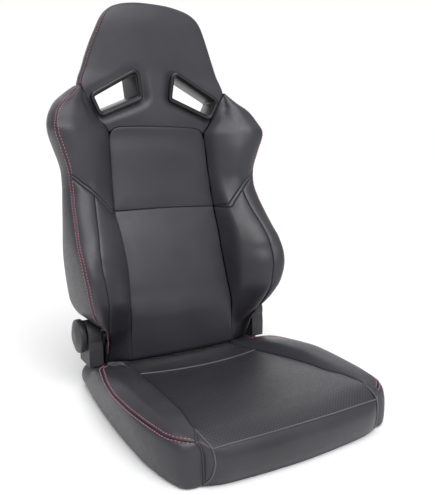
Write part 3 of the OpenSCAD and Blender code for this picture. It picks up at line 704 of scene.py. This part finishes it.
# %% The tuck and the shoulders
tuck_flat = patch(tuck, tuck_up, straight(tuck(np.array(0.0)), tuck_up(np.array(0.0))),
                  straight(tuck(np.array(1.0)), tuck_up(np.array(1.0))))
both_sides("tuck_fold", on_front(tuck_flat, back_front), (0, -1, 0), cover,
           "leathercloth", "backrest", [], rolled="ns", puff=0.6, reach=4, thick=6)
shoulder_inner = path([[136, 402], [134.5, 440], [132.5, 490], [131, 540], [129, 575], [129.5, 587],
                       [138, 600], [150, 617], [163, 638], [180, 671]])
ridge_high = ended(line_xz(ridge, 486, 695, 22), start=tuck_up(np.array(1.0)))
shoulder_flat = patch(tuck_up, straight([180, 671], ridge_high(np.array(1.0))), shoulder_inner, ridge_high)
both_sides("shoulder_cover", on_front(shoulder_flat, back_front), (0, -1, 0), cover,
           "leathercloth", "backrest", ["shoulder_bolster"], puff=3.0, reach=40, step=6.5)


# %% [markdown]
# ## Side boxing of the backrest
# A deep band runs from the ridge to the rear panel and gives the backrest its thickness. At
# its foot it is cut round the recliner, and there the leather gathers in small creases.
# %% Back side panels
def side_surface(y, z):
    (rx, ry), (qx, qy) = ridge(z), rear_corner(z)
    t = np.clip((y - ry) / np.maximum(qy - ry, 1), 0, 1)
    return mix(rx, qx, t) + 7 * np.sin(math.pi * t) * np.clip((qy - ry) / 90, 0, 1)


def on_side(flat):
    def at(u, v):
        p = flat(u, v)
        return np.stack([side_surface(p[..., 0], p[..., 1]), p[..., 0], p[..., 1]], axis=-1)

    return at


def line_yz(find, z_from, z_to, count=26):
    z = np.linspace(z_from, z_to, count)
    return path(np.stack([find(z)[1], z], axis=-1))


def round_pivot(degrees, radius=41.5):
    a = math.radians(degrees)
    return [pivot_y + radius * math.cos(a), pivot_z + radius * math.sin(a)]


def creases(grid, near):
    """Small slanting folds where the leather turns round the recliner."""
    y, z = grid[..., 1], grid[..., 2]
    along = (z - 150) * 0.5 - (y - 200) * 0.25
    fold = np.sin(along / 4.2) + 0.6 * np.sin(along / 2.6 + y / 31)
    return 0.7 * fold * ease((235 - z) / 60) * ease(near / 8)


boxing_foot = path([[float(ridge(146)[1]), 146], round_pivot(148), round_pivot(122), round_pivot(92),
                    round_pivot(62), [float(rear_corner(160)[1]), 160]])
boxing_flat = patch(boxing_foot, straight([float(ridge(695)[1]), 695], [float(rear_corner(695)[1]), 695]),
                    line_yz(ridge, 146, 695), line_yz(rear_corner, 160, 695))
both_sides("back_side_cover", on_side(boxing_flat), (1, 0, 0), cover, "leathercloth", "backrest",
           ["back_side"], puff=2.5, reach=30, thick=6, extra=creases)

# %% [markdown]
# ## Head
# The head and the yoke between the slots are one panel, with the slots cut through it. A band
# over the crown joins it to the rear.
# %% Head front, band and rear
head_side = path([[129.5, 587], [138, 600], [150, 617], [163, 638], [180, 671], [191, 694],
                  [185, 714], [177, 732], [163, 770], [150, 802], [138, 829], [130, 847]])
crown_line = [[130, 847], [118, 866], [98, 881], [66, 891], [33, head_top - 4], [0, head_top - 3]]


def arch(half):
    """A path from left to right over the middle, from the points of one half."""
    half = np.array(half, float)
    first = half * np.array([-1] + [1] * (half.shape[1] - 1))
    return path(np.concatenate([first, half[::-1][1:]]))


yoke_foot = arch([[129.5, 587], [123, 590.5], [113, 597.5], [98, 600.5], [50, 602.5], [0, 603]])
head_flat = patch(yoke_foot, arch(crown_line), mirror_path(head_side), head_side)
def under_rim(grid, near):
    """No puff close to the slots, where the bezel clamps the leather."""
    return -3.4 * (1 - ease((slot_distance(grid[..., 0], grid[..., 2]) - 15) / 22))


head_cover = sewn_panel("head_cover", on_front(head_flat, head_front), (0, -1, 0), cover, puff=3.0,
                        reach=45, step=6.0, thick=14, extra=under_rim,
                        hole=lambda c: slot_distance(c[..., 0], c[..., 2]) < tunnel_r + 0.4)
dress(head_cover, "backrest", "leathercloth", "head_pad")
print("head front:", len(head_cover.data.polygons), "faces")

rear_edge_y = smooth_line([600, 650, 697, 744, 800, 850, 880, 893], [360, 371, 378, 384, 386, 383, 375, 366])
head_half = np.array([[191, 694], [185, 714], [177, 732], [163, 770], [150, 802], [138, 829]] + crown_line)
head_x, head_z = head_half.T
front_line = np.stack([head_x, head_front(head_x, head_z), head_z], axis=1)
rear_half = head_half * np.array([0.965, 1]) - np.array([0, 1]) * ease((head_half[:, 1:] - 780) / 110) * 6
rear_line = np.stack([rear_half[:, 0], rear_edge_y(rear_half[:, 1]), rear_half[:, 1]], axis=1)
band_front, band_rear = arch(front_line), arch(rear_line)


def band_shape(u, v):
    return mix(band_front(v), band_rear(v), u[..., None])


head_band = sewn_panel("head_band_cover", band_shape, (0, 0, 1), cover, rolled="we", puff=6.0, reach=26,
                       thick=7)
dress(head_band, "backrest", "leathercloth", "head_pad")


# %% [markdown]
# ## Rear of the backrest
# The rear is plain, tougher leathercloth in two pieces, one over the frame and one over the
# head. The slots come out through the upper one.
# %% Rear panels
def rear_surface(x, z):
    qx, qy = rear_corner(z)
    edge = np.where(z > 600, rear_edge_y(z), qy)
    depth = edge + 4 * (1 - np.clip(np.abs(x) / np.maximum(qx, 120), 0, 1) ** 2)
    shift = slot_depth * math.sin(slot_toe)
    level = slot_face + slot_depth - 1 - (np.abs(x) - slot_mid[0] - shift) * math.tan(slot_toe)
    d = slot_distance(np.abs(x) - shift, z)
    return mix(level, depth, ease((d - 13) / 26))


rear_side = line_xz(rear_corner, 54, 600, 20)
rear_flat = patch(straight([-heel_x, 54], [heel_x, 54]), straight([-262, 600], [262, 600]),
                  mirror_path(ended(rear_side, [heel_x, 54], [262, 600])),
                  ended(rear_side, [heel_x, 54], [262, 600]))
rear_cover = sewn_panel("back_rear_cover", on_front(rear_flat, rear_surface), (0, 1, 0), cover_rear,
                        puff=2.0, reach=60, step=9, thick=5)
dress(rear_cover, "backrest", "rear_leathercloth", "back_rear_panel")
rear_head_side = path([[262, 600], [246, 650], [186, 697], *rear_half[1:7].tolist()])
rear_head_flat = patch(straight([-262, 600], [262, 600]), arch(rear_half[6:]), mirror_path(rear_head_side),
                       rear_head_side)
rear_head = sewn_panel(
    "head_rear_cover", on_front(rear_head_flat, rear_surface), (0, 1, 0), cover_rear, puff=2.0, reach=50,
    step=6.5, thick=5,
    hole=lambda c: slot_distance(np.abs(c[..., 0]) - slot_depth * math.sin(slot_toe), c[..., 2]) < 9.6)
dress(rear_head, "backrest", "rear_leathercloth", "head_pad")
print("rear panels:", rear_cover.name, rear_head.name)

# %% [markdown]
# ## The seam lines of the cushion
# The cushion is drawn the same way, seen from above: the seam beside the sitting surface, the
# crown of the bolster and the outer seam where the side panel begins.
# %% Cushion seams
inner_seam = smooth_line([-270, -225, -180, -132, -91, -37, 29, 103, 180, 246],
                         [183, 190.5, 184, 175, 172, 168, 160, 152, 147, 144],
                         [71, 87, 88, 84, 82, 77, 70, 60, 50, 45])
outer_seam = smooth_line([-252, -235, -211, -184, -134, -77, -27, 35, 87, 140, 165, 184, 198, 246],
                         [202, 223, 239, 244, 251, 256, 257, 251, 240, 226, 214, 202, 195.5, 195],
                         [79, 80, 81, 81, 81, 81, 81, 81, 79, 73, 66, 60, 58, 56])
bolster_crown = smooth_line([-252, -223, -206, -171, -109, -43, 31, 111, 150, 180, 210, 246],
                            [80, 87, 91, 95, 97, 98, 93, 78, 68, 57, 49, 46])
sit_middle = smooth_line([-278, -270, -240, -200, -130, -60, 0, 60, 79, 130, 190, 246],
                         [73, 75, 81, 84.5, 84.5, 79, 71, 62, 60, 54, 47, 45])


def cushion_top(x, y):
    x = np.abs(x)
    (sx, sz), (ox, oz), crown_z = inner_seam(y), outer_seam(y), bolster_crown(y)
    middle = sit_middle(y)
    sitting = middle + (sz - middle) * np.clip(x / sx, 0, 1) ** 2
    knots = [(sx, sz), (mix(sx, ox, 0.3), mix(sz, crown_z, 0.8)), (mix(sx, ox, 0.62), crown_z), (ox, oz)]
    return np.where(x < sx, sitting, across_section(x, knots))


def on_top(flat):
    def at(u, v):
        p = flat(u, v)
        return np.stack([p[..., 0], p[..., 1], cushion_top(p[..., 0], p[..., 1])], axis=-1)

    return at


front_line_xy = arch([[183, -270], [120, -274], [60, -276.5], [0, -277]])
cross_line = arch([[152, 101], [115, 91], [80, 85], [40, 80.5], [0, 79]])
front_side = path([[183, -270], [187.5, -250], [190.5, -225], [184, -180], [175, -132], [172, -91],
                   [168, -37], [160, 29], [152, 101]])
rear_side_xy = path([[152, 101], [147, 180], [144, 246]])
insert_front = sewn_panel("cushion_insert_front_cover",
                          on_top(patch(front_line_xy, cross_line, mirror_path(front_side), front_side)),
                          (0, 0, 1), cover_punched, puff=3.0, reach=45, thick=14)
dress(insert_front, "base", "perforated_leathercloth", "cushion_insert_front")
rear_line_xy = straight([-144, 246], [144, 246])
insert_rear = sewn_panel("cushion_insert_rear_cover",
                         on_top(patch(cross_line, rear_line_xy, mirror_path(rear_side_xy), rear_side_xy)),
                         (0, 0, 1), cover_punched, puff=1.5, reach=40, thick=10)
dress(insert_rear, "base", "perforated_leathercloth", "cushion_insert_rear")
print("sitting surface:", insert_front.name, insert_rear.name)


# %% [markdown]
# ## Cushion bolsters, sides and corners
# The side panel is a tall strip that bulges over the frame and wraps the front corner. Where
# it meets the front band, a leaf-shaped gusset takes up the curve of the corner.
# %% Bolsters and side panels
def line_xy(find, y_from, y_to, count=24):
    y = np.linspace(y_from, y_to, count)
    return path(np.stack([find(y)[0], y], axis=-1))


bolster_in = ended(line_xy(inner_seam, 246, -225), stop=[190.5, -225])
bolster_out = line_xy(outer_seam, 246, -252, 34)
bolster_flat = patch(straight([144, 246], bolster_out(np.array(0.0))),
                     straight([190.5, -225], bolster_out(np.array(1.0))), bolster_in, bolster_out)
both_sides("cushion_bolster_cover", on_top(bolster_flat), (0, 0, 1), cover, "leathercloth", "base",
           ["cushion_bolster"], puff=1.5, reach=35, thick=12)

floor_line = path([[232, 250, 3], [246, 99, 3], [251, -32, 3], [250, -128, 3], [243, -190, 3],
                   [233, -232, 3], [224, -250, 3], [211, -256, 3], [192, -258, 4]])


def seam_3d(y_from, y_to, count):
    y = np.linspace(y_from, y_to, count)
    x, z = outer_seam(y)
    return path(np.stack([x, y, z], axis=-1))


side_top = seam_3d(246, -252, 40)


def side_panel(u, v):
    """From the outer seam at u 0 down to the lower edge at u 1, rear at v 0, front at v 1."""
    top, foot = side_top(v), floor_line(v)
    run = floor_line(np.clip(v + 0.01, 0, 1)) - floor_line(np.clip(v - 0.01, 0, 1))
    out = np.stack([-run[..., 1], run[..., 0], np.zeros_like(v)], axis=-1)
    out /= np.linalg.norm(out, axis=-1, keepdims=True)
    swell = (9 - 7 * ease((v - 0.8) / 0.2))[..., None]
    upper, lower = foot + out * swell, foot + out * (swell - 1)
    upper[..., 2] = top[..., 2] - 3
    lower[..., 2] = top[..., 2] * 0.45
    s = u[..., None]
    back = 1 - s
    return top * back**3 + 3 * upper * s * back**2 + 3 * lower * s * s * back + foot * s**3


both_sides("cushion_side_cover", side_panel, (1, 0, 0), cover, "leathercloth", "base",
           ["cushion_side"], rolled="wne", puff=1.5, reach=20, thick=6)

# %% Gussets and front band
leaf_top = [190.5, -225, 87]
side_end = side_panel(np.linspace(0, 1, 9), np.ones(9))
leaf_outer = path(np.concatenate([[leaf_top], [mix(np.array(leaf_top), side_end[0], 0.5)], side_end]))
leaf_inner = path([leaf_top, [187.5, -250, 79.5], [183, -270, 71], [180.5, -276, 48], [184, -270, 22],
                   [192, -258, 4]])


def leaf(u, v):
    return mix(leaf_outer(v), leaf_inner(v), u[..., None])


both_sides("cushion_gusset_cover", leaf, (0.4, -1, 0.1), cover, "leathercloth", "base",
           ["cushion_gusset"], rolled="we", puff=2.0, reach=9, thick=3, step=4)
band_top = arch([[183, -270, 71], [120, -274, 72.5], [60, -276.5, 73], [0, -277, 73]])
band_foot = arch([[192, -258, 4], [127, -266, 3], [60, -271, 3], [0, -273, 3]])
band_end = path([[192, -258, 4], [184, -270, 22], [180.5, -276, 48], [183, -270, 71]])


def mirror_3d(border):
    return lambda t: border(t) * np.array([-1, 1, 1])


front_band = sewn_panel("cushion_front_band_cover", patch(band_foot, band_top, mirror_3d(band_end), band_end),
                        (0, -1, 0), cover, rolled="nwe", puff=6.0, reach=38, thick=6)
dress(front_band, "base", "leathercloth", "cushion_front_band")
side_start = path(side_panel(np.linspace(1, 0, 9), np.zeros(9)))
rear_top = arch([side_panel(np.array([0.0]), np.array([0.0]))[0].tolist(), [144, base_rear - 3, 45],
                 [0, base_rear - 3, 44]])
rear_foot = arch([[232, 250, 3], [116, 250, 3], [0, 250, 3]])
rear_band_shape = patch(rear_foot, rear_top, mirror_3d(side_start), side_start)
rear_band = sewn_panel("cushion_rear_band_cover", rear_band_shape, (0, 1, 0), cover_rear, rolled="nwe",
                       puff=1.5, reach=20, thick=5, step=9)
dress(rear_band, "base", "rear_leathercloth", "cushion_rear_band")
print("front and rear bands:", front_band.name, rear_band.name)

# %% [markdown]
# ## Cushion foam
# From below, the foam block shows through the zig-zag springs that carry it.
# %% Foam block
core_low, core_high = (np.array(c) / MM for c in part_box("cushion_core"))


def foam_under(u, v):
    x, y = mix(core_low[0], core_high[0], u), mix(core_low[1], core_high[1], v)
    sag = 1.2 * np.sin(x / 21) * np.sin(y / 26)
    return np.stack([x, y, core_low[2] + 1.5 + sag], axis=-1)


foam_block = sewn_panel("cushion_foam_block", foam_under, (0, 0, -1), seat_foam, puff=0.0, thick=14, step=10)
dress(foam_block, "base", "seat_foam", "cushion_core", fill=0.9)
print("foam block:", foam_block.name)


# %% [markdown]
# ## Harness bezels
# Each slot is lined by two mouldings that plug into each other. The front one ends in a fat
# rounded rim. A profile is drawn once and swept round the slot's outline, which is how such a
# rim is modelled for the mould.
# %% Bezels
def slot_ring(radius, proud):
    """The slot's outline grown by radius, proud of the slot's face plane by that much."""
    points = []
    for i, corner in enumerate(slot_corners):
        before, after = corner - slot_corners[i - 1], slot_corners[(i + 1) % 4] - corner
        a0 = math.atan2(before[0], -before[1])
        a1 = math.atan2(after[0], -after[1])
        if a1 > a0:
            a1 -= 2 * math.pi
        for a in np.linspace(a0, a1, 9):
            points.append(corner + radius * np.array([math.cos(a), math.sin(a)]))
    flat = np.array(points)
    dx = flat[:, 0] - slot_mid[0]
    c, s = math.cos(slot_toe), math.sin(slot_toe)
    return np.stack([slot_mid[0] + dx * c - proud * s, slot_face - dx * s - proud * c, flat[:, 1]], axis=1)


def sweep(name, profile, material, side):
    rings = np.array([slot_ring(r, p) for r, p in profile]) * np.array([side, 1, 1])
    rows, cols = rings.shape[:2]
    faces = [(i * cols + j, i * cols + (j + 1) % cols, (i + 1) % rows * cols + (j + 1) % cols,
              (i + 1) % rows * cols + j) for i in range(rows) for j in range(cols)]
    made = mesh_object(name, rings.reshape(-1, 3), faces, material)
    made.data.set_sharp_from_angle(angle=math.radians(48))
    return made


front_rim = [(9, -38), (9, 0.4), (15, 0.4), (16.1, 1.4), (16.5, 3.4), (16.1, 5.6), (15, 7.2), (13.4, 8.6),
             (11, 8.9), (8.8, 8.2), (7.3, 6.6), (6.6, 4.6), (6.4, 2.4), (4.6, 1.2), (4, 0), (4, -38)]
rear_rim = [(5, -38.4), (5, -72), (5.8, -74), (8, -75), (11.5, -75), (13.3, -74), (14, -72), (13.6, -69.6),
            (9, -69.4), (9, -38.4)]
for side, hand in SIDES:
    for name, profile in (("harness_bezel_front_", front_rim), ("harness_bezel_rear_", rear_rim)):
        bezel = sweep("moulded_" + name + hand, profile, bezel_abs, side)
        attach(bezel, "backrest")
        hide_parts(name + hand)
print("bezels swept:", len(front_rim), "profile points")

# %% [markdown]
# ## Recliner knob
# The knob is a moulded cup with a shallow domed face. It is turned as on a lathe, from the
# hub out to the rim and back over the face, and the rim has shallow grip flutes.
# %% Knob
knob_low, knob_high = (np.array(c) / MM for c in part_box("recliner_knob"))
knob_r = (knob_high[2] - knob_low[2]) / 2
knob_face = -knob_low[0]
knob_t = 20.0
turned = [(5.05, -3), (12, -3), (12, 7), (knob_r - 5.2, 7), (knob_r - 4.2, 6), (knob_r - 4, 0.6),
          (knob_r - 3, 0), (knob_r - 1.2, 0), (knob_r, 1.4), (knob_r, 6), (knob_r, 11.6),
          (knob_r - 0.5, 12.8), (knob_r - 1.6, 13.6), (knob_r - 3, 13.9), (knob_r - 8, 15.8),
          (knob_r - 15, 18.2), (knob_r - 19, 19.4), (knob_r - 22, 19.9), (knob_r - 26, 20), (0.01, 20),
          (0.01, 14), (5.05, 14)]
facets = 144
angle = np.linspace(0, 2 * math.pi, facets, endpoint=False)
rings = []
for r, h in turned:
    flute = 0.45 * np.cos(angle * 36) if r >= knob_r and 3 < h < 10 else 0
    rings.append(np.stack([np.full(facets, -(knob_face - knob_t + h)), pivot_y + (r + flute) * np.cos(angle),
                           pivot_z + (r + flute) * np.sin(angle)], axis=1))
faces = [(i * facets + j, i * facets + (j + 1) % facets, (i + 1) % len(turned) * facets + (j + 1) % facets,
          (i + 1) % len(turned) * facets + j) for i in range(len(turned)) for j in range(facets)]
knob = mesh_object("turned_recliner_knob", np.concatenate(rings), faces, knob_abs)
knob.data.set_sharp_from_angle(angle=math.radians(40))
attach(knob, "recline_drive")
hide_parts("recliner_knob")
print("knob:", round(2 * knob_r, 1), "mm across")


# %% [markdown]
# ## Decorative stitching
# The ridge and the outer cushion seams are twin-needle seams: a row of crimson stitches runs
# on each side of the join. Every stitch is a short arch of thread that dives into the cloth at
# both ends. The rows follow the finished panels, a few millimetres in from their edges.
# %% Stitch rows
def row_inside(name, side, distance):
    """Points and normals along one edge of a panel, a set distance in from it."""
    grid, n = surfaces[name]
    if side in "sn":
        grid, n = grid.swapaxes(0, 1), n.swapaxes(0, 1)
    if side in "en":
        grid, n = grid[:, ::-1], n[:, ::-1]
    run = run_along(grid, 1)
    points, facing = [], []
    for row, normal, far in zip(grid, n, run):
        points.append([np.interp(distance, far, row[:, k]) for k in range(3)])
        facing.append([np.interp(distance, far, normal[:, k]) for k in range(3)])
    return np.array(points), np.array(facing)


def stitches(points, facing, start=0.0, stop=1.0, pitch=7.0, length=4.6, thick=1.7):
    """Vertices and faces of a row of stitches along a line of points."""
    run = np.concatenate([[0], np.cumsum(np.linalg.norm(np.diff(points, axis=0), axis=1))])
    places = np.arange(run[-1] * start + pitch, run[-1] * stop - pitch, pitch)
    verts, faces = [], []
    for s in places:
        a, b, c = (np.array([np.interp(t, run, points[:, k]) for k in range(3)])
                   for t in (s - length / 2, s + length / 2, s))
        up = np.array([np.interp(s, run, facing[:, k]) for k in range(3)])
        along = (b - a) / np.linalg.norm(b - a)
        up = up - along * (up @ along)
        up /= np.linalg.norm(up)
        across = np.cross(along, up)
        for share, size, rise in ((-0.5, 0.45, -0.35), (-0.32, 0.95, 0.25), (0, 1.0, 0.5), (0.32, 0.95, 0.25),
                                  (0.5, 0.45, -0.35)):
            centre = c + along * share * length + up * rise
            for k in range(6):
                turn = k * math.pi / 3
                verts.append(centre + thick / 2 * size * (across * math.cos(turn) + up * math.sin(turn)))
        first = len(verts) - 30
        for i in range(4):
            for k in range(6):
                m = (k + 1) % 6
                p = first + i * 6
                faces.append((p + k, p + m, p + 6 + m, p + 6 + k))
        faces += [tuple(first + k for k in range(6)), tuple(first + 29 - k for k in range(6))]
    return verts, faces


def sew(name, rows, body, material=crimson, **given):
    verts, faces = [], []
    for panel, side, distance, start, stop in rows:
        more, sides = stitches(*row_inside(panel, side, distance), start, stop, **given)
        faces += [tuple(i + len(verts) for i in f) for f in sides]
        verts += more
    made = mesh_object(name, verts, faces, material)
    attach(made, body)
    print(name, len(verts) // 30, "stitches")
    return made


inset = 6.6
for hand in HANDS:
    sew("ridge_stitching_" + hand,
        [("back_side_cover_" + hand, "w", inset, 0.04, 1.0),
         ("hip_wing_cover_" + hand, "e", inset, 0.06, 1.0),
         ("shoulder_cover_" + hand, "e", inset, 0.0, 0.98)], "backrest")
    sew("cushion_stitching_" + hand,
        [("cushion_bolster_cover_" + hand, "e", inset, 0.1, 0.99),
         ("cushion_side_cover_" + hand, "w", inset, 0.1, 0.99)], "base")
sew("head_stitching",
    [("head_band_cover", "w", inset, 0.0, 0.32), ("head_band_cover", "w", inset, 0.68, 1.0)], "backrest")


# %% [markdown]
# ## Piping
# A thin covered cord is sewn into the cross seam and the front seam of the cushion and along the gussets. The
# cords in the cross, front and gusset seams use a lighter leathercloth, a painted highlight for the light
# they catch.
# %% Piping
def welt(name, points, radius, body, material):
    points = np.array(points, float)
    along = np.gradient(points, axis=0)
    along /= np.linalg.norm(along, axis=1, keepdims=True)
    side = np.cross(along, np.array([0.2, -0.9, 0.4]))
    side /= np.linalg.norm(side, axis=1, keepdims=True)
    up = np.cross(side, along)
    turn = np.linspace(0, 2 * math.pi, 8, endpoint=False)[:, None]
    rings = points[:, None] + radius * (side[:, None] * np.cos(turn) + up[:, None] * np.sin(turn))
    rows = len(points)
    faces = [(i * 8 + j, i * 8 + (j + 1) % 8, (i + 1) * 8 + (j + 1) % 8, (i + 1) * 8 + j)
             for i in range(rows - 1) for j in range(8)]
    faces += [tuple(range(8)), tuple((rows - 1) * 8 + 7 - k for k in range(8))]
    made = mesh_object(name, rings.reshape(-1, 3), faces, material)
    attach(made, body)
    return made


t = np.linspace(0, 1, 60)
cross_xy = cross_line(t)
cross_z = cushion_top(cross_xy[:, 0], cross_xy[:, 1])
cross_cord = np.stack([cross_xy[:, 0], cross_xy[:, 1], cross_z + 0.2], axis=1)
welt("cross_seam_piping", cross_cord, 1.9, "base", piping_cover_painted_highlight)
for side, hand in SIDES:
    leaf_line = leaf_inner(t) * np.array([side, 1, 1]) + np.array([0, -0.4, 0.2])
    welt("gusset_piping_" + hand, leaf_line, 1.6, "base", piping_cover_painted_highlight)
    corner_line = leaf_outer(t) * np.array([side, 1, 1])
    welt("corner_piping_" + hand, corner_line, 2.4, "base", cover)
front_xy = front_line_xy(t)
front_z = cushion_top(front_xy[:, 0], front_xy[:, 1])
front_cord = np.stack([front_xy[:, 0], front_xy[:, 1] - 0.5, front_z], axis=1)
welt("front_seam_piping", front_cord, 1.4, "base", piping_cover_painted_highlight)
print("piping laid")

# %% [markdown]
# ## Studio
# A plain pale floor and soft light. A very wide softbox stands overhead, a little to the left,
# and a weaker one behind the seat brings out the satin shine of the cushion. A small one near
# the head makes the upper backrest lighter than its foot. The white surroundings look fully
# bright to the camera, but light the seat less, so that the hollows stay dark.
# %% Floor, lights and camera
floor_mesh = bpy.data.meshes.new("studio_floor")
reach = 60.0
floor_mesh.from_pydata([(-reach, -reach, 0), (reach, -reach, 0), (reach, reach, 0), (-reach, reach, 0)], [],
                       [(0, 1, 2, 3)])
floor = bpy.data.objects.new("studio_floor", floor_mesh)
bpy.context.scene.collection.objects.link(floor)
floor.location.z = -0.5 * MM
floor_paint, floor_surface, floor_place = new_material("matt_white_backdrop", 0.9)
floor_share = noise(floor_paint, floor_place, 900, detail=1.0)
join(floor_paint, tint(floor_paint, floor_share, "F4F4F4", "FCFCFC"), floor_surface, "Base Color")
floor_mesh.materials.append(floor_paint)

world = bpy.data.worlds.new("studio")
world.use_nodes = True
soft = world.node_tree.nodes["Background"]
soft.inputs["Color"].default_value = linear("FFFFFF")
soft.inputs["Strength"].default_value = 0.4
wall = add(world, "ShaderNodeBackground", {"Color": linear("FFFFFF")}).outputs[0]
seen = add(world, "ShaderNodeLightPath").outputs["Is Camera Ray"]
either = add(world, "ShaderNodeMixShader", {0: seen, 1: soft.outputs[0], 2: wall}).outputs[0]
join(world, either, world.node_tree.nodes["World Output"], "Surface")
bpy.context.scene.world = world
bpy.context.scene.view_settings.view_transform = "Standard"


def hang(light, place, target):
    """Puts a lamp or the camera at a place, in metres, and points it at a target."""
    made = bpy.data.objects.new(light.name, light)
    made.location = place
    made.rotation_mode = "QUATERNION"
    made.rotation_quaternion = (Vector(target) - Vector(place)).to_track_quat("-Z", "Y")
    bpy.context.scene.collection.objects.link(made)
    return made


def direction(azimuth, elevation):
    """Unit vector towards a place round the seat. Azimuth 0 is straight ahead of it."""
    a, e = math.radians(azimuth), math.radians(elevation)
    return Vector((math.sin(a) * math.cos(e), -math.cos(a) * math.cos(e), math.sin(e)))


def sun(name, azimuth, elevation, width, strength):
    """A very large softbox far away; width is the angle that it fills."""
    light = bpy.data.lights.new(name, "SUN")
    light.angle = math.radians(width)
    light.energy = strength
    return hang(light, direction(azimuth, elevation) * 3, (0, 0, 0))


sun("overhead_softbox", -18, 62, 55, 2.3)
sun("rear_softbox", 155, 24, 70, 1.0)
head_lamp = bpy.data.lights.new("head_softbox", "AREA")
head_lamp.size = 0.9
head_lamp.energy = 6.0
hang(head_lamp, (0.1, -0.9, 1.45), (0, 0.2, 0.7))

camera_data = bpy.data.cameras.new("camera")
camera_data.sensor_width = 36.0
camera_data.lens = 41.09
aim = Vector((-0.0022, 0.0211, 0.341))
stand_off = 1.2
bpy.context.scene.camera = hang(camera_data, aim + direction(-30.43, 9.65) * stand_off, aim)
print("studio ready")

# %% [markdown]
# ## Last update
# The view layer is brought up to date. The dressed seat has to stay within the CAD model's
# box, apart from the little that padding may stand proud.
# %% Update
bpy.context.view_layer.update()
